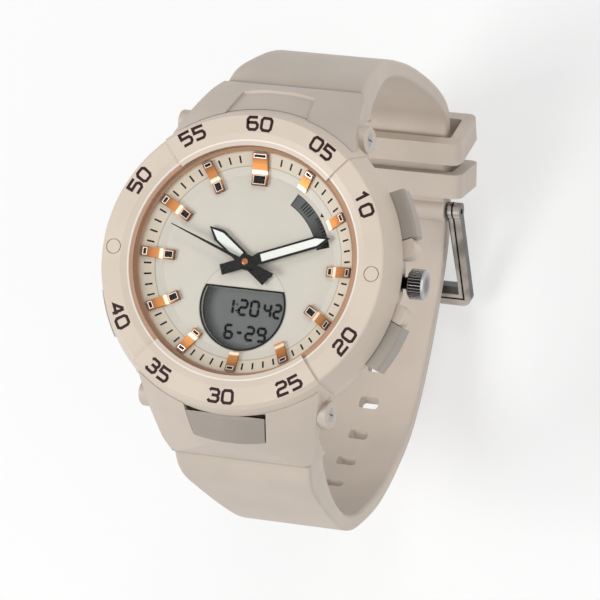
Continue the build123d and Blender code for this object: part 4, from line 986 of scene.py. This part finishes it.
class WATCH_OT_stage(WatchPiece, bpy.types.Operator):
    """Pale floor, soft studio light and the camera"""
    bl_idname = "watch.stage"
    bl_label = "Stage"

    # Radius of the round floor and its gap below the watch, in metres, and the floor's corners
    FLOOR_RADIUS = 1.6
    FLOOR_GAP = 0.0004
    FLOOR_CORNERS = 48
    # Name, place and size in metres, and power in watts
    LAMPS = (
        ("key", (-0.34, -0.20, 0.46), 0.30, 2.3),
        ("fill", (0.46, -0.06, 0.34), 0.70, 1.3),
        ("back", (0.10, 0.46, 0.42), 0.16, 0.6),
    )
    # Strength of the surround as light, and what is added where it is seen
    SKY = (0.40, 0.6)
    # Share of plain white in the floor where it is seen
    FLOOR_GLOW = 0.52
    # The camera: where it stands in metres, its way to the right and back, its lens in mm
    CAMERA_PLACE = (0.1854, -0.0559, 0.5392)
    CAMERA_RIGHT = (0.9436, 0.1405, -0.2999)
    CAMERA_BACK = (0.3140, -0.0913, 0.9450)
    LENS = 234

    def execute(self, context):
        self.floor()
        for lamp in self.LAMPS:
            self.lamp(*lamp)
        self.sky()
        self.camera()
        bpy.context.scene.view_settings.view_transform = "Standard"
        return {"FINISHED"}

    def floor(self):
        """A round floor just below the strap."""
        floor = put("studio_floor", bpy.data.meshes.new("studio_floor"))
        floor_z = CAD_BOX[0][2] - self.FLOOR_GAP
        sheet = bmesh.new()
        step = tau / self.FLOOR_CORNERS
        sheet.faces.new([sheet.verts.new((self.FLOOR_RADIUS * cos(i * step),
                                          self.FLOOR_RADIUS * sin(i * step), floor_z))
                         for i in range(self.FLOOR_CORNERS)])
        sheet.to_mesh(floor.data)
        sheet.free()
        floor.data.materials.append(self.floor_paint().material)

    def floor_paint(self):
        """White floor that stays near white to the eye and keeps the watch's shadow."""
        finish = Finish("floor_white", Base_Color=(0.92, 0.92, 0.92, 1), Roughness=0.7,
                        Specular_IOR_Level=0.1)
        glow = finish.node("ShaderNodeEmission", inputs={"Color": (1, 1, 1, 1), "Strength": 1.0})
        finish.surface(finish.backdrop_rays() * self.FLOOR_GLOW, finish.principled(), glow)
        return finish

    def lamp(self, name, place, size, power):
        """A square soft box aimed at the watch."""
        light = bpy.data.lights.new(name, "AREA")
        light.energy = power
        light.size = size
        made = put(name, light)
        made.location = place
        made.rotation_euler = Vector(place).to_track_quat("Z", "Y").to_euler()

    def sky(self):
        """White surround for the eye and for reflections, softer as light."""
        world = bpy.data.worlds.new("studio_air")
        bpy.context.scene.world = world
        world.use_nodes = True
        air = NodeBench(world.node_tree)
        back = world.node_tree.nodes["Background"]
        air.plug(back.inputs["Color"], (1, 1, 1, 1))
        light, seen = self.SKY
        air.plug(back.inputs["Strength"], light + air.backdrop_rays() * seen)

    def camera(self):
        """Long lens at the photograph's angle."""
        lens = bpy.data.cameras.new("studio_camera")
        lens.lens = self.LENS
        lens.sensor_width = 36
        lens.clip_start = 0.05
        made = put("studio_camera", lens)
        right = Vector(self.CAMERA_RIGHT).normalized()
        back = Vector(self.CAMERA_BACK).normalized()
        up = back.cross(right).normalized()
        right = up.cross(back)
        turn = Matrix((right, up, back)).transposed().to_4x4()
        made.matrix_world = Matrix.Translation(self.CAMERA_PLACE) @ turn
        bpy.context.scene.camera = made


class WATCH_PT_panel(bpy.types.Panel):
    """Lists the steps that dress the watch"""
    bl_idname = "WATCH_PT_panel"
    bl_label = "Ana digi watch"
    bl_space_type = "VIEW_3D"
    bl_region_type = "UI"
    bl_category = "Watch"

    def draw(self, context):
        for step in STEPS:
            self.layout.operator(step.bl_idname)
        for group in (context.scene.watch_sizes, context.scene.watch_shades):
            for name in group.__annotations__:
                self.layout.prop(group, name)


STEPS = (WATCH_OT_resin, WATCH_OT_steel, WATCH_OT_crystal, WATCH_OT_dial, WATCH_OT_markers,
         WATCH_OT_hands, WATCH_OT_displays, WATCH_OT_numerals, WATCH_OT_inside, WATCH_OT_stage)
CLASSES = (WatchSizes, WatchShades, *STEPS, WATCH_PT_panel)


def register():
    for kind in CLASSES:
        bpy.utils.register_class(kind)
    bpy.types.Scene.watch_sizes = bpy.props.PointerProperty(type=WatchSizes)
    bpy.types.Scene.watch_shades = bpy.props.PointerProperty(type=WatchShades)


def unregister():
    del bpy.types.Scene.watch_sizes
    del bpy.types.Scene.watch_shades
    for kind in reversed(CLASSES):
        bpy.utils.unregister_class(kind)


def main():
    register()
    for step in STEPS:
        group, name = step.bl_idname.split(".")
        getattr(getattr(bpy.ops, group), name)()


if __name__ == "__main__":
    main()
